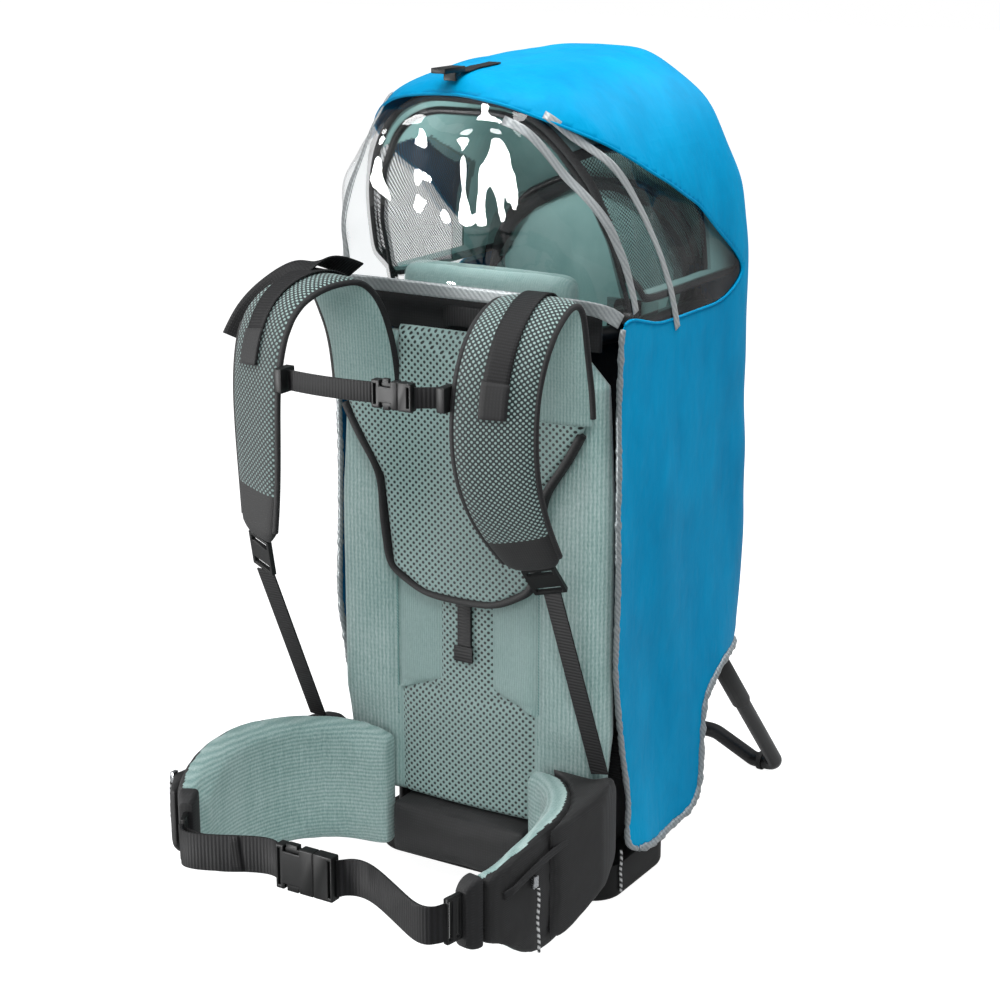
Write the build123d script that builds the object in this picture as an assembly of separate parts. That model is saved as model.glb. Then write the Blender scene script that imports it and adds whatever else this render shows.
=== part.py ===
from build123d import *
import math
import os

# Framed child carrier backpack. The wearer's back is towards -Y, the kickstand towards +Y, +Z is up,
# and the origin lies on the ground face of the base. All sizes are in millimetres.

# ---- driving dimensions ----
FRAME_TUBE_R = 9.0          # aluminium frame tube, outer radius
FRAME_Y = -58.0             # plane of the two back uprights
UPRIGHT_X = 100.0           # each upright from the middle
RIM_Z = 600.0               # height of the cockpit rim tube
RIM_X = 128.0               # rim tube and side struts from the middle
RIM_REAR_Y = 205.0          # rear of the rim
BASE_HALF_WIDTH = 148.0
BASE_FRONT_Y = -60.0
BASE_REAR_Y = 90.0
BASE_HEIGHT = 40.0
COCKPIT_HALF_WIDTH = 117.0
COCKPIT_FLOOR_Z = 320.0
COCKPIT_WALL = 4.0
BAG_WALL = 3.0
HUB_Y = 150.0               # kickstand pivot
HUB_Z = 240.0
LEG_X = 150.0               # kickstand leg from the middle
LEG_R = 9.0
FOOT_Y = 360.0              # where the kickstand meets the ground
PAD_WALL = 2.0              # rubber wall round the kickstand tube
SLEEVE_WALL = 2.0           # plastic wall round the kickstand leg
PIN_R = 5.0
PIN_CLEARANCE = 0.05        # radial, running fit of the kickstand on its pins
PANEL_FRONT_Y = -96.0       # front of the back panel
SLIDE_GAP = 0.5             # between the harness and the back panel it slides on
SOFT_GAP = 0.4              # between soft parts that lie on each other
YOKE_THICK = 14.0
SHOULDER_WIDTH = 80.0
SHOULDER_THICK = 15.0
WEBBING_THICK = 2.0
BELT_WIDTH = 38.0
CHEST_WIDTH = 20.0
STRAP_WIDTH = 25.0
WING_THICK = 24.0
COVER_HALF_WIDTH = 165.0
COVER_WALL = 2.0
COVER_TOP_Z = 868.0
COVER_REAR_Y = 278.0
CANOPY_HALF_WIDTH = 146.0
CANOPY_TOP_Z = 834.0
CANOPY_WALL = 2.0
BOW_R = 4.0
CANOPY_PIVOT_Y = -10.0
CANOPY_PIVOT_Z = RIM_Z + FRAME_TUBE_R + 7.0
CORD_R = 1.5

GROUND_LEG_Z = LEG_R + PAD_WALL


# ---- helpers ----
def box(low, high):
    size = [b - a for a, b in zip(low, high)]
    middle = [(a + b) / 2 for a, b in zip(low, high)]
    return Pos(*middle) * Box(*size)


def rounded_box(low, high, radius):
    """Box whose four upright corners are rounded."""
    plan = RectangleRounded(high[0] - low[0], high[1] - low[1], radius)
    middle = Pos((low[0] + high[0]) / 2, (low[1] + high[1]) / 2, low[2])
    return extrude(middle * plan, high[2] - low[2])


def rod(a, b, r):
    """Straight round bar from a to b."""
    start = Vector(*a)
    along = Vector(*b) - start
    return extrude(Plane(origin=start, z_dir=along) * Circle(r), along.length)


def tube(points, radius, r):
    """Round bar along straight runs joined by tangent arcs."""
    path = FilletPolyline(*points, radius=radius)
    return sweep(Plane(origin=path @ 0, z_dir=path % 0) * Circle(r), path=path)


def side_plate(points, radius, x_low, x_high):
    """Outline given as (y, z), extruded across X."""
    face = make_face(FilletPolyline(*points, radius=radius, close=True))
    plane = Plane(origin=(x_low, 0, 0), x_dir=(0, 1, 0), z_dir=(1, 0, 0))
    return extrude(plane * face, x_high - x_low)


def front_plate(points, radius, y_front, y_back):
    """Outline given as (x, z), extruded along Y."""
    face = make_face(FilletPolyline(*points, radius=radius, close=True))
    plane = Plane(origin=(0, y_back, 0), x_dir=(1, 0, 0), z_dir=(0, -1, 0))
    return extrude(plane * face, y_back - y_front)


def ribbon(line, width, thickness, across=(1, 0, 0), count=7, offset=0.0, span=(0.0, 1.0), corner=0.0):
    """Strap lofted along a line; its width and its side direction may be functions of 0 to 1."""
    sections = []
    for i in range(count):
        t = span[0] + (span[1] - span[0]) * i / (count - 1)
        along = (line % t).normalized()
        side = Vector(*(across(t) if callable(across) else across))
        side = (side - along * side.dot(along)).normalized()
        normal = along.cross(side)
        w = width(t) if callable(width) else width
        shape = RectangleRounded(w, thickness, corner) if corner else Rectangle(w, thickness)
        plane = Plane(origin=line @ t + normal * offset, x_dir=side, z_dir=along)
        sections.append(plane * shape)
    return loft(sections, ruled=count > 7)


def mirrored(part):
    return mirror(part, about=Plane.YZ)


def pair(part):
    """The part and its mirror image, as two solids."""
    return Compound(children=[part, mirrored(part)])


# ---- frame ----
def rim_loop():
    half = RIM_X
    plan = RectangleRounded(2 * half, RIM_REAR_Y - FRAME_Y, 60)
    wire = (Pos(0, (RIM_REAR_Y + FRAME_Y) / 2, RIM_Z) * plan).wire()
    start = wire @ 0
    return sweep(Plane(origin=start, z_dir=wire % 0) * Circle(FRAME_TUBE_R), path=wire)


def upright(side):
    x = side * UPRIGHT_X
    return rod((x, FRAME_Y, BASE_HEIGHT), (x, FRAME_Y, RIM_Z), FRAME_TUBE_R)


CROSSBAR_Z = 310.0          # middle cross tube of the back frame


def back_frame():
    """Two uprights and a cross tube, coped under the rim."""
    bar = rod((-UPRIGHT_X, FRAME_Y, CROSSBAR_Z), (UPRIGHT_X, FRAME_Y, CROSSBAR_Z), FRAME_TUBE_R * 0.8)
    return upright(-1) + upright(1) + bar - rim_loop()


STRUT_R = 8.0


def side_strut():
    """Strut from the base through the kickstand hub up to the rim."""
    points = [(RIM_X, 30, BASE_HEIGHT - 10), (RIM_X, HUB_Y, HUB_Z), (RIM_X, RIM_REAR_Y - 20, RIM_Z)]
    return tube(points, 60, STRUT_R) - rim_loop() - base_tray()


HUB_R = 24.0
HUB_OUT_X = LEG_X - LEG_R - 1.0


def hub_plate():
    disc = rod((RIM_X, HUB_Y, HUB_Z), (HUB_OUT_X, HUB_Y, HUB_Z), HUB_R)
    pin_hole = rod((RIM_X - 1, HUB_Y, HUB_Z), (HUB_OUT_X + 1, HUB_Y, HUB_Z), PIN_R)
    return disc - side_strut() - pin_hole


PIN_HEAD_R = 9.0
BOSS_HALF = 8.0


def pivot_pin():
    start = RIM_X + STRUT_R + 0.5
    head_x = LEG_X + LEG_R + 0.3
    shank = rod((start, HUB_Y, HUB_Z), (head_x, HUB_Y, HUB_Z), PIN_R)
    return shank + rod((head_x, HUB_Y, HUB_Z), (head_x + 2, HUB_Y, HUB_Z), PIN_HEAD_R)


def base_tray():
    """Moulded base that the pack stands on, hollow from above."""
    low = (-BASE_HALF_WIDTH, BASE_FRONT_Y, 0)
    high = (BASE_HALF_WIDTH, BASE_REAR_Y, BASE_HEIGHT)
    block = rounded_box(low, high, 35)
    return fillet(block.faces().sort_by(Axis.Z)[0].edges(), 8)


# ---- luggage compartment ----
BAG_FRONT_Y = FRAME_Y + FRAME_TUBE_R + SOFT_GAP
BAG_REAR_Y = 108.0
BAG_TOP_Z = COCKPIT_FLOOR_Z - SOFT_GAP
FLAP_THICK = 3.0
MOUTH_Z = (60.0, 186.0)         # opening at the rear of the luggage compartment


def lower_bag():
    """Luggage compartment, open to the rear where the flap closes it."""
    low = (-COCKPIT_HALF_WIDTH, BAG_FRONT_Y, BASE_HEIGHT + SOFT_GAP)
    high = (COCKPIT_HALF_WIDTH, BAG_REAR_Y, BAG_TOP_Z)
    hollow = box(
        (low[0] + BAG_WALL, low[1] + BAG_WALL, low[2] + BAG_WALL),
        (high[0] - BAG_WALL, high[1] - BAG_WALL, high[2] - BAG_WALL),
    )
    reach = COCKPIT_HALF_WIDTH - 16
    mouth = box((-reach, high[1] - BAG_WALL - 1, MOUTH_Z[0]), (reach, high[1] + 1, MOUTH_Z[1]))
    return box(low, high) - hollow - mouth


def bag_flap():
    y = BAG_REAR_Y + SOFT_GAP
    low = (-COCKPIT_HALF_WIDTH + 8, y, MOUTH_Z[0] - 8)
    high = (COCKPIT_HALF_WIDTH - 8, y + FLAP_THICK, MOUTH_Z[1] + 10)
    return box(low, high)


# ---- child's cockpit ----
COCKPIT_FRONT_Y = FRAME_Y + FRAME_TUBE_R + SOFT_GAP
COCKPIT_REAR_Y = RIM_REAR_Y - FRAME_TUBE_R - SOFT_GAP
COCKPIT_CORNER = 55.0
LEG_HOLE_Z = (345.0, 430.0)
LEG_HOLE_Y = (-42.0, 38.0)


def cockpit_shell():
    """Fabric tub with an opening on top and a leg hole in each side."""
    low = (-COCKPIT_HALF_WIDTH, COCKPIT_FRONT_Y, COCKPIT_FLOOR_Z)
    high = (COCKPIT_HALF_WIDTH, COCKPIT_REAR_Y, RIM_Z)
    outer = rounded_box(low, high, COCKPIT_CORNER)
    inner_low = (low[0] + COCKPIT_WALL, low[1] + COCKPIT_WALL, low[2] + COCKPIT_WALL)
    inner_high = (high[0] - COCKPIT_WALL, high[1] - COCKPIT_WALL, high[2] + 1)
    inner = rounded_box(inner_low, inner_high, COCKPIT_CORNER - COCKPIT_WALL)
    reach = COCKPIT_HALF_WIDTH + 5
    holes = box((-reach, LEG_HOLE_Y[0], LEG_HOLE_Z[0]), (reach, LEG_HOLE_Y[1], LEG_HOLE_Z[1]))
    return outer - inner - holes + stirrup_pins()


SEAT_TOP_Z = 342.0
SEAT_FLOOR_Z = COCKPIT_FLOOR_Z + COCKPIT_WALL + SOFT_GAP


def seat_cushion():
    half = COCKPIT_HALF_WIDTH - 22
    return rounded_box((-half, -35, SEAT_FLOOR_Z), (half, BACKREST_Y - SOFT_GAP, SEAT_TOP_Z), 25)


BACKREST_Y = 150.0
BACKREST_THICK = 12.0


def headrest_panel():
    """Child's back rest: an arched top above the rim and a pad that fills the rear of the tub."""
    low_x, pad_x = COCKPIT_HALF_WIDTH - 25, COCKPIT_HALF_WIDTH - 47
    half = [(low_x, SEAT_FLOOR_Z), (low_x, 560), (RIM_X - 16, 625), (70, 690)]
    arch = half + [(0, 716)] + [(-x, z) for x, z in reversed(half)]
    panel = front_plate(arch, 22, BACKREST_Y, BACKREST_Y + BACKREST_THICK)
    rear = COCKPIT_REAR_Y - COCKPIT_WALL - SOFT_GAP
    return panel + rounded_box((-pad_x, BACKREST_Y + 1, 440), (pad_x, rear, 560), 8)


def drool_pad():
    low_z = RIM_Z + FRAME_TUBE_R + SOFT_GAP
    block = rounded_box((-100, PANEL_BACK_Y + SOFT_GAP, low_z), (100, -28, 660), 18)
    return fillet(block.faces().sort_by(Axis.Z)[-1].edges(), 14)


HARNESS_STRAP_X = 48.0
CHILD_BUCKLE_Y = 60.0


def child_harness():
    """Two padded shoulder straps in front of the back rest."""
    y = BACKREST_Y - SOFT_GAP
    low = (HARNESS_STRAP_X - 20, y - 8, 400)
    strap = rounded_box(low, (HARNESS_STRAP_X + 20, y, 600), 3.5)
    return pair(strap)


BUCKLE_BODY_Z = (SEAT_TOP_Z + SOFT_GAP, SEAT_TOP_Z + 16.4)
BUTTON_R = 9.0
BUTTON_TRAVEL = 3.0


def child_buckle():
    low = (-26, CHILD_BUCKLE_Y - 24, BUCKLE_BODY_Z[0])
    body = rounded_box(low, (26, CHILD_BUCKLE_Y + 24, BUCKLE_BODY_Z[1]), 12)
    floor_z = BUCKLE_BODY_Z[1] - 7
    well = rod((0, CHILD_BUCKLE_Y, floor_z), (0, CHILD_BUCKLE_Y, floor_z + 30), BUTTON_R + 0.4)
    return body - well


def child_buckle_button():
    z = BUCKLE_BODY_Z[1] - 7 + BUTTON_TRAVEL + 0.4
    return Pos(0, CHILD_BUCKLE_Y, z) * Cylinder(BUTTON_R, 5.5, align=(Align.CENTER, Align.CENTER, Align.MIN))


# ---- foot stirrups ----
STIRRUP_X = 143.0
STIRRUP_Y = -5.0
STIRRUP_Z = 335.0
STIRRUP_PIN_R = 3.0


def stirrup_pins():
    """Short pins on the cockpit side that the stirrups swing on."""
    start = (COCKPIT_HALF_WIDTH - 1, STIRRUP_Y, STIRRUP_Z)
    shank = rod(start, (STIRRUP_X + 6, STIRRUP_Y, STIRRUP_Z), STIRRUP_PIN_R)
    head = rod((STIRRUP_X + 6, STIRRUP_Y, STIRRUP_Z), (STIRRUP_X + 8, STIRRUP_Y, STIRRUP_Z), 6)
    return pair(shank + head)


def stirrup():
    """Webbing strap with an eye at the top and a foot loop below."""
    drop = 150.0
    eye = rod((STIRRUP_X - 4, STIRRUP_Y, STIRRUP_Z), (STIRRUP_X + 4, STIRRUP_Y, STIRRUP_Z), 12)
    strap = box((STIRRUP_X - 2, STIRRUP_Y - 10, STIRRUP_Z - drop), (STIRRUP_X + 2, STIRRUP_Y + 10, STIRRUP_Z))
    loop_z = STIRRUP_Z - drop - 30
    y_points = [(STIRRUP_Y - 34, loop_z - 22), (STIRRUP_Y - 34, loop_z + 32), (STIRRUP_Y + 34, loop_z + 32)]
    y_points.append((STIRRUP_Y + 34, loop_z - 22))
    outer = side_plate(y_points, 16, STIRRUP_X - 8, STIRRUP_X + 8)
    inner_points = [(y * 0.86 + STIRRUP_Y * 0.14, z * 0.86 + loop_z * 0.14 + 0.7) for y, z in y_points]
    inner = side_plate(inner_points, 12, STIRRUP_X - 9, STIRRUP_X + 9)
    start, end = (STIRRUP_X - 9, STIRRUP_Y, STIRRUP_Z), (STIRRUP_X + 9, STIRRUP_Y, STIRRUP_Z)
    return eye + strap + (outer - inner) - rod(start, end, STIRRUP_PIN_R + 0.05)


# ---- wearer's back panel and hip belt ----
PANEL_BACK_Y = FRAME_Y - FRAME_TUBE_R
LUMBAR_TOP_Z = 92.0
WING_ROOT_X = 84.0


def back_panel():
    """Padded panel, widest at the waist of the pack, its lower corners behind the hip belt."""
    half = [(112, LUMBAR_TOP_Z), (150, 130), (158, 200), (158, 430), (150, 560), (118, 592)]
    points = half + [(-x, z) for x, z in reversed(half)]
    return front_plate(points, 18, PANEL_FRONT_Y, PANEL_BACK_Y)


def lumbar_band():
    """Rear of the hip belt, between the two wings."""
    x = WING_ROOT_X - 2 * SOFT_GAP
    return rounded_box((-x, PANEL_FRONT_Y - 22, 32), (x, BASE_FRONT_Y - SOFT_GAP, LUMBAR_TOP_Z - SOFT_GAP), 6)


def top_panel():
    z_low = 592 + SOFT_GAP
    return rounded_box((-140, PANEL_BACK_Y - 6, z_low), (140, PANEL_BACK_Y, 636), 2.5)


def grab_handle():
    y = PANEL_BACK_Y - 6 - SOFT_GAP - WEBBING_THICK
    line = Spline((-36, y - 1, 610), (-22, y - 9, 614), (0, y - 12, 615), (22, y - 9, 614), (36, y - 1, 610))
    return ribbon(line, 20, WEBBING_THICK, across=(0, 0, 1), count=5)


WING_ROOT_Y = PANEL_FRONT_Y - 1 - WING_THICK / 2
RIGHT_WING = [(WING_ROOT_X, WING_ROOT_Y), (118, WING_ROOT_Y - 12), (147, -158), (161, -215), (164, -275)]
RIGHT_WING += [(158, -330)]
LEFT_WING = [(-WING_ROOT_X, WING_ROOT_Y), (-130, WING_ROOT_Y - 9), (-172, -150), (-198, -205), (-201, -268)]
LEFT_WING += [(-182, -325)]
RIGHT_LEVELS = [(0.0, 36, 160), (0.25, 30, 168), (0.6, 32, 166), (0.85, 58, 160), (1.0, 82, 154)]
LEFT_LEVELS = [(0.0, 36, 160), (0.25, 32, 180), (0.6, 38, 186), (0.85, 62, 178), (1.0, 82, 160)]


def level_at(levels, t):
    """Lower and upper edge of a wing at t, between the given stations."""
    for (t0, a0, b0), (t1, a1, b1) in zip(levels, levels[1:]):
        if t <= t1:
            s = (t - t0) / (t1 - t0)
            return a0 + (a1 - a0) * s, b0 + (b1 - b0) * s
    return levels[-1][1], levels[-1][2]


def wing_band(plan, levels, thickness, offset, span, trim=0.0, count=6):
    """Upright band along a plan line, with its lower and upper edge from the levels."""
    line = Spline(*[(x, y, 0) for x, y in plan])
    sections = []
    for i in range(count):
        t = span[0] + (span[1] - span[0]) * i / (count - 1)
        low, high = level_at(levels, t)
        along = (line % t).normalized()
        outward = along.cross(Vector(0, 0, 1)) * (1 if plan[-1][0] > 0 else -1)
        place = line @ t + outward * offset + Vector(0, 0, (low + high) / 2)
        plane = Plane(origin=place, x_dir=(0, 0, 1), z_dir=along)
        sections.append(plane * RectangleRounded(high - low - 2 * trim, thickness, thickness * 0.35))
    return loft(sections)


def hip_wing(plan, levels):
    return wing_band(plan, levels, WING_THICK, 0, (0.0, 1.0))


RIGHT_POCKET = [(158, -330), (171, -322), (179, -300), (179, -120), (168, -76), (159, -70)]
RIGHT_POCKET += [(159, -97), (100, -97)]
LEFT_POCKET = [(-182, -325), (-208, -322), (-226, -296), (-226, -196), (-208, -130), (-172, -78), (-159, -70),
               (-159, -97), (-100, -97)]


def hip_pocket(plan, levels, outline):
    """Zipped pocket that fills the outside of a wing, from the back panel to its tip."""
    face = make_face(Polyline(*outline, *plan[1:-1], close=True))
    side = [(-60, 78), (-60, 140), (-90, 166), (-210, 170), (-328, 150)]
    side += [(-328, 92), (-285, 58), (-200, 36), (-110, 54)]
    height = side_plate(side, 8, -300, 300)
    wing = wing_band(plan, levels, WING_THICK + 2 * SOFT_GAP, 0, (0.0, 1.0), trim=-4.0)
    return extrude(face, 300) & height - wing


def tip_frame(plan):
    """Point and direction at the free end of a wing."""
    line = Spline(*[(x, y, 0) for x, y in plan])
    return line @ 1, (line % 1).normalized()


CAP_LENGTH = 20.0


def wing_cap(plan, levels):
    """Stiff end piece of a wing, where the belt webbing starts."""
    tip, along = tip_frame(plan)
    low, high = level_at(levels, 1.0)
    middle = (low + high) / 2
    sections = []
    for reach, shrink in ((SOFT_GAP, 0), (CAP_LENGTH * 0.6, 4), (CAP_LENGTH, 14)):
        place = tip + along * reach + Vector(0, 0, middle)
        plane = Plane(origin=place, x_dir=(0, 0, 1), z_dir=along)
        sections.append(plane * RectangleRounded(high - low - shrink, WING_THICK - 4 - shrink / 2, 5))
    return loft(sections)


TRIGLIDE = (10.0, 46.0, 5.0)    # reach, height and thickness


def triglide(plan, levels):
    """Plastic adjuster at the end of a wing, with a bar that the belt folds over."""
    tip, along = tip_frame(plan)
    place = tip + along * (CAP_LENGTH + SOFT_GAP + TRIGLIDE[0]) + Vector(0, 0, BELT_Z)
    plane = Plane(origin=place, x_dir=(0, 0, 1), z_dir=along)
    ring = extrude(plane * Rectangle(TRIGLIDE[1], TRIGLIDE[2]), TRIGLIDE[0], both=True)
    slot_plane = plane.offset(0)
    slot = extrude(slot_plane * Rectangle(BELT_WIDTH + 1, TRIGLIDE[2] + 2), 2.6, both=True)
    shift = along * 5.0
    return ring - Pos(shift.X, shift.Y, 0) * slot - Pos(-shift.X, -shift.Y, 0) * slot


def on_wings(make):
    """The same small part at the end of each wing."""
    return Compound(children=[make(RIGHT_WING, RIGHT_LEVELS), make(LEFT_WING, LEFT_LEVELS)])


BELT_Z = 121.0
BELT_Y = -350.0
BUCKLE_X = (-52.0, 14.0)       # ends of the closed hip buckle
BUCKLE_THICK = 12.0


def belt_start(plan):
    tip, along = tip_frame(plan)
    place = tip + along * (CAP_LENGTH + 2 * TRIGLIDE[0] + 2 * SOFT_GAP)
    return place.X, place.Y, along


def belt_webbing():
    """Two lengths of belt webbing, from the wings to the buckle."""
    solids = []
    for plan, end_x in ((RIGHT_WING, BUCKLE_X[1] + 0.9), (LEFT_WING, BUCKLE_X[0] - 0.9)):
        x, y, along = belt_start(plan)
        ahead = (x + along.X * 8, y + along.Y * 8)
        middle = ((x + end_x) / 2, BELT_Y - 8)
        line = Spline((x, y, BELT_Z), (*ahead, BELT_Z), (*middle, BELT_Z), (end_x, BELT_Y, BELT_Z))
        solids.append(ribbon(line, BELT_WIDTH, WEBBING_THICK, across=(0, 0, 1), count=7))
    return Compound(children=solids)


def buckle_female(x_low, x_high, y, z, height, thick):
    """Socket half: a sleeve with windows above and below for the prongs."""
    wall = 1.8
    body = box((x_low, y - thick / 2, z - height / 2), (x_high, y + thick / 2, z + height / 2))
    cavity = box(
        (x_low + 7, y - thick / 2 + wall, z - height / 2 + wall),
        (x_high + 1, y + thick / 2 - wall, z + height / 2 - wall),
    )
    start, end = x_low + 9, x_low + 9 + (x_high - x_low) * 0.42
    reach = thick / 2 + 1
    window = box((start, y - reach, z - height), (end, y + reach, z - height / 2 + 6))
    upper = box((start, y - reach, z + height / 2 - 6), (end, y + reach, z + height))
    bar_slot = box((x_low + 2.2, y - thick, z - height / 2 + 4), (x_low + 4.8, y + thick, z + height / 2 - 4))
    return body - cavity - window - upper - bar_slot


def buckle_male(x_low, x_high, y, z, height, thick, reach):
    """Plug half: a bar for the webbing and a central tongue that reaches into the socket."""
    plate = box((x_low, y - thick / 2, z - height / 2), (x_high, y + thick / 2, z + height / 2))
    slot = box((x_high - 4.8, y - thick, z - height / 2 + 4), (x_high - 2.2, y + thick, z + height / 2 - 4))
    tongue = box((x_low - reach, y - 2, z - 4), (x_low, y + 2, z + 4))
    return plate - slot + tongue


def buckle_prong(x_low, x_high, y, z, height, thick, up):
    """One side arm of the plug, which the fingers squeeze towards the middle."""
    inner = height / 2 - 7.5
    outer = height / 2 - 2.4
    low = min(up * inner, up * outer)
    high = max(up * inner, up * outer)
    arm = box((x_low, y - thick / 2 + 2.4, z + low), (x_high, y + thick / 2 - 2.4, z + high))
    nose_low = min(up * outer, up * (height / 2 + 1.5))
    nose_high = max(up * outer, up * (height / 2 + 1.5))
    span = x_high - x_low
    nose = box(
        (x_low + 1, y - thick / 2 + 2.4, z + nose_low),
        (x_low + span * 0.42, y + thick / 2 - 2.4, z + nose_high),
    )
    return arm + nose


HIP_SPLIT = BUCKLE_X[0] + 44
HIP_HEIGHT = 46.0
STERNUM_Z = 574.0
STERNUM_Y = -256.0
STERNUM_X = (2.0, 46.0)
STERNUM_SPLIT = STERNUM_X[0] + 29
STERNUM_HEIGHT = 27.0
STERNUM_THICK = 9.0


def hip_buckle_female():
    return buckle_female(BUCKLE_X[0], HIP_SPLIT, BELT_Y, BELT_Z, HIP_HEIGHT, BUCKLE_THICK)


def hip_buckle_male():
    start = HIP_SPLIT + SOFT_GAP
    return buckle_male(start, BUCKLE_X[1], BELT_Y, BELT_Z, HIP_HEIGHT, BUCKLE_THICK, 30)


def hip_prong(up):
    return buckle_prong(BUCKLE_X[0] + 10, HIP_SPLIT + 0.1, BELT_Y, BELT_Z, HIP_HEIGHT, BUCKLE_THICK, up)


# ---- harness ----
YOKE_BACK_Y = PANEL_FRONT_Y - SLIDE_GAP
YOKE_FRONT_Y = YOKE_BACK_Y - YOKE_THICK
YOKE_TOP_Z = 528.0
SHOULDER_ROOT_X = 112.0


def yoke_pad():
    half = [(30, 326), (84, 352), (95, 445), (SHOULDER_ROOT_X + 36, YOKE_TOP_Z)]
    points = half + [(-x, z) for x, z in reversed(half)]
    return front_plate(points, 9, YOKE_FRONT_Y, YOKE_BACK_Y)


def shoulder_line(side):
    """Centre line of a shoulder pad, from the yoke over the shoulder to its lower end."""
    y = YOKE_BACK_Y - SHOULDER_THICK / 2
    x = SHOULDER_ROOT_X
    root = [(x, y, YOKE_TOP_Z + SOFT_GAP), (x, y - 4, 560), (x + 1, y - 15, 602)]
    if side > 0:
        front = [(114, -138, 648), (117, -196, 632), (117, -228, 570), (117, -224, 500)]
        front += [(119, -194, 440), (121, -158, 396)]
    else:
        front = [(126, -142, 646), (143, -202, 640), (145, -238, 588), (146, -243, 520)]
        front += [(149, -239, 455), (154, -234, 404)]
    points = [(side * x, y, z) for x, y, z in root + front]
    return Spline(*points, tangents=[(0, -0.04, 1), END_DIRECTION[side]])


END_DIRECTION = {1: (0.04, 0.6, -0.75), -1: (-0.1, 0.3, -0.95)}
PAD_TWIST = math.radians(21)        # how far the front of a pad faces outwards


def shoulder_width(t):
    """The pad narrows to its lower end."""
    return SHOULDER_WIDTH * (1 - 0.3 * max(0.0, (t - 0.6) / 0.4) ** 2)


def shoulder_across(side):
    """Direction across the pad, turned outwards over its front half."""
    def across(t):
        share = min(1.0, max(0.0, (t - 0.2) / 0.3))
        angle = PAD_TWIST * share * share * (3 - 2 * share)
        return math.cos(angle), side * math.sin(angle), 0
    return across


def shoulder_pad(side):
    line = shoulder_line(side)
    return ribbon(line, shoulder_width, SHOULDER_THICK, across=shoulder_across(side), count=16, corner=5)


def load_lifter(side):
    """Webbing that lies on the outside of the pad, over the top of the shoulder."""
    out = SHOULDER_THICK / 2 + WEBBING_THICK / 2 + SOFT_GAP + 1.0
    line = shoulder_line(side)
    span = (0.27, 0.6)
    return ribbon(line, STRAP_WIDTH, WEBBING_THICK, shoulder_across(side), count=8, offset=out, span=span)


LOCK_SIZE = (34.0, 5.0, 40.0)


def shoulder_end(side):
    line = shoulder_line(side)
    return line @ 1, (line % 1).normalized()


def lock_plane(side, place):
    """Plane across the strap at a ladder lock, with its X along the width of the strap."""
    along = shoulder_end(side)[1]
    across = Vector(*shoulder_across(side)(1.0))
    across = (across - along * across.dot(along)).normalized()
    return Plane(origin=place, x_dir=across, z_dir=along)


def ladder_lock(side):
    """Plastic adjuster below a shoulder pad."""
    end, along = shoulder_end(side)
    plane = lock_plane(side, end + along * (SOFT_GAP + LOCK_SIZE[2] / 2))
    ring = extrude(plane * Rectangle(LOCK_SIZE[0], LOCK_SIZE[1]), LOCK_SIZE[2] / 2, both=True)
    slot = extrude(plane * Rectangle(STRAP_WIDTH + 1, LOCK_SIZE[1] + 2), 3.5, both=True)
    shift = along * (LOCK_SIZE[2] / 2 - 7)
    return ring - Pos(*shift) * slot - Pos(*(shift * -1)) * slot


ANCHOR = {1: (160.0, -98.6, 169.0), -1: (-176.0, -114.0, 168.5)}    # sewn lower ends, on the hip pockets


def lower_webbing(side):
    """Adjusting strap from the ladder lock to the rear of the hip belt."""
    end, along = shoulder_end(side)
    start = end + along * (SOFT_GAP + LOCK_SIZE[2] + 2.0)
    return ribbon(Line(tuple(start), ANCHOR[side]), CHEST_WIDTH, WEBBING_THICK, count=2)


def pull_tab():
    """Torso length strap that hangs from the lower edge of the yoke."""
    y = PANEL_FRONT_Y - SLIDE_GAP
    strap = box((-8, y - 3, 258), (8, y, 326 - SOFT_GAP))
    grip = box((-11, y - 5, 258), (11, y - 3, 275))
    return strap + grip


# ---- chest strap ----
def clip_place(side):
    """Inner edge of a shoulder pad at the height of the chest strap."""
    line = shoulder_line(side)
    low, high, t = 0.4, 0.9, 0.65
    for _ in range(30):
        t = (low + high) / 2
        low, high = (t, high) if (line @ t).Z > STERNUM_Z else (low, t)
    across = Vector(*shoulder_across(side)(t))
    return line @ t - across * (side * (SHOULDER_WIDTH / 2 + 1.9))


CLIP_SIZE = (9.0, 22.0, 24.0)


def chest_clip(side):
    """Slider on the piping of a shoulder pad."""
    place = clip_place(side)
    low_x, high_x = sorted((place.X, place.X - side * CLIP_SIZE[0]))
    half_y, half_z = CLIP_SIZE[1] / 2, CLIP_SIZE[2] / 2
    return box((low_x, place.Y - half_y, place.Z - half_z), (high_x, place.Y + half_y, place.Z + half_z))


def chest_webbing():
    solids = []
    for side, end_x in ((1, STERNUM_X[1] + 0.8), (-1, STERNUM_X[0] - 0.8)):
        place = clip_place(side)
        x = place.X - side * (CLIP_SIZE[0] + 1.0)
        middle = ((x * 2 + end_x) / 3, place.Y - 4, STERNUM_Z)
        line = Spline((x, place.Y, STERNUM_Z), middle, (end_x, STERNUM_Y, STERNUM_Z))
        solids.append(ribbon(line, CHEST_WIDTH, WEBBING_THICK, across=(0, 0, 1), count=5))
    return Compound(children=solids)


def chest_buckle_female():
    return buckle_female(STERNUM_X[0], STERNUM_SPLIT, STERNUM_Y, STERNUM_Z, STERNUM_HEIGHT, STERNUM_THICK)


def chest_buckle_male():
    start = STERNUM_SPLIT + SOFT_GAP
    return buckle_male(start, STERNUM_X[1], STERNUM_Y, STERNUM_Z, STERNUM_HEIGHT, STERNUM_THICK, 18)


def chest_prong(up):
    low, high = STERNUM_X[0] + 10, STERNUM_SPLIT + 0.1
    return buckle_prong(low, high, STERNUM_Y, STERNUM_Z, STERNUM_HEIGHT, STERNUM_THICK, up)


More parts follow.
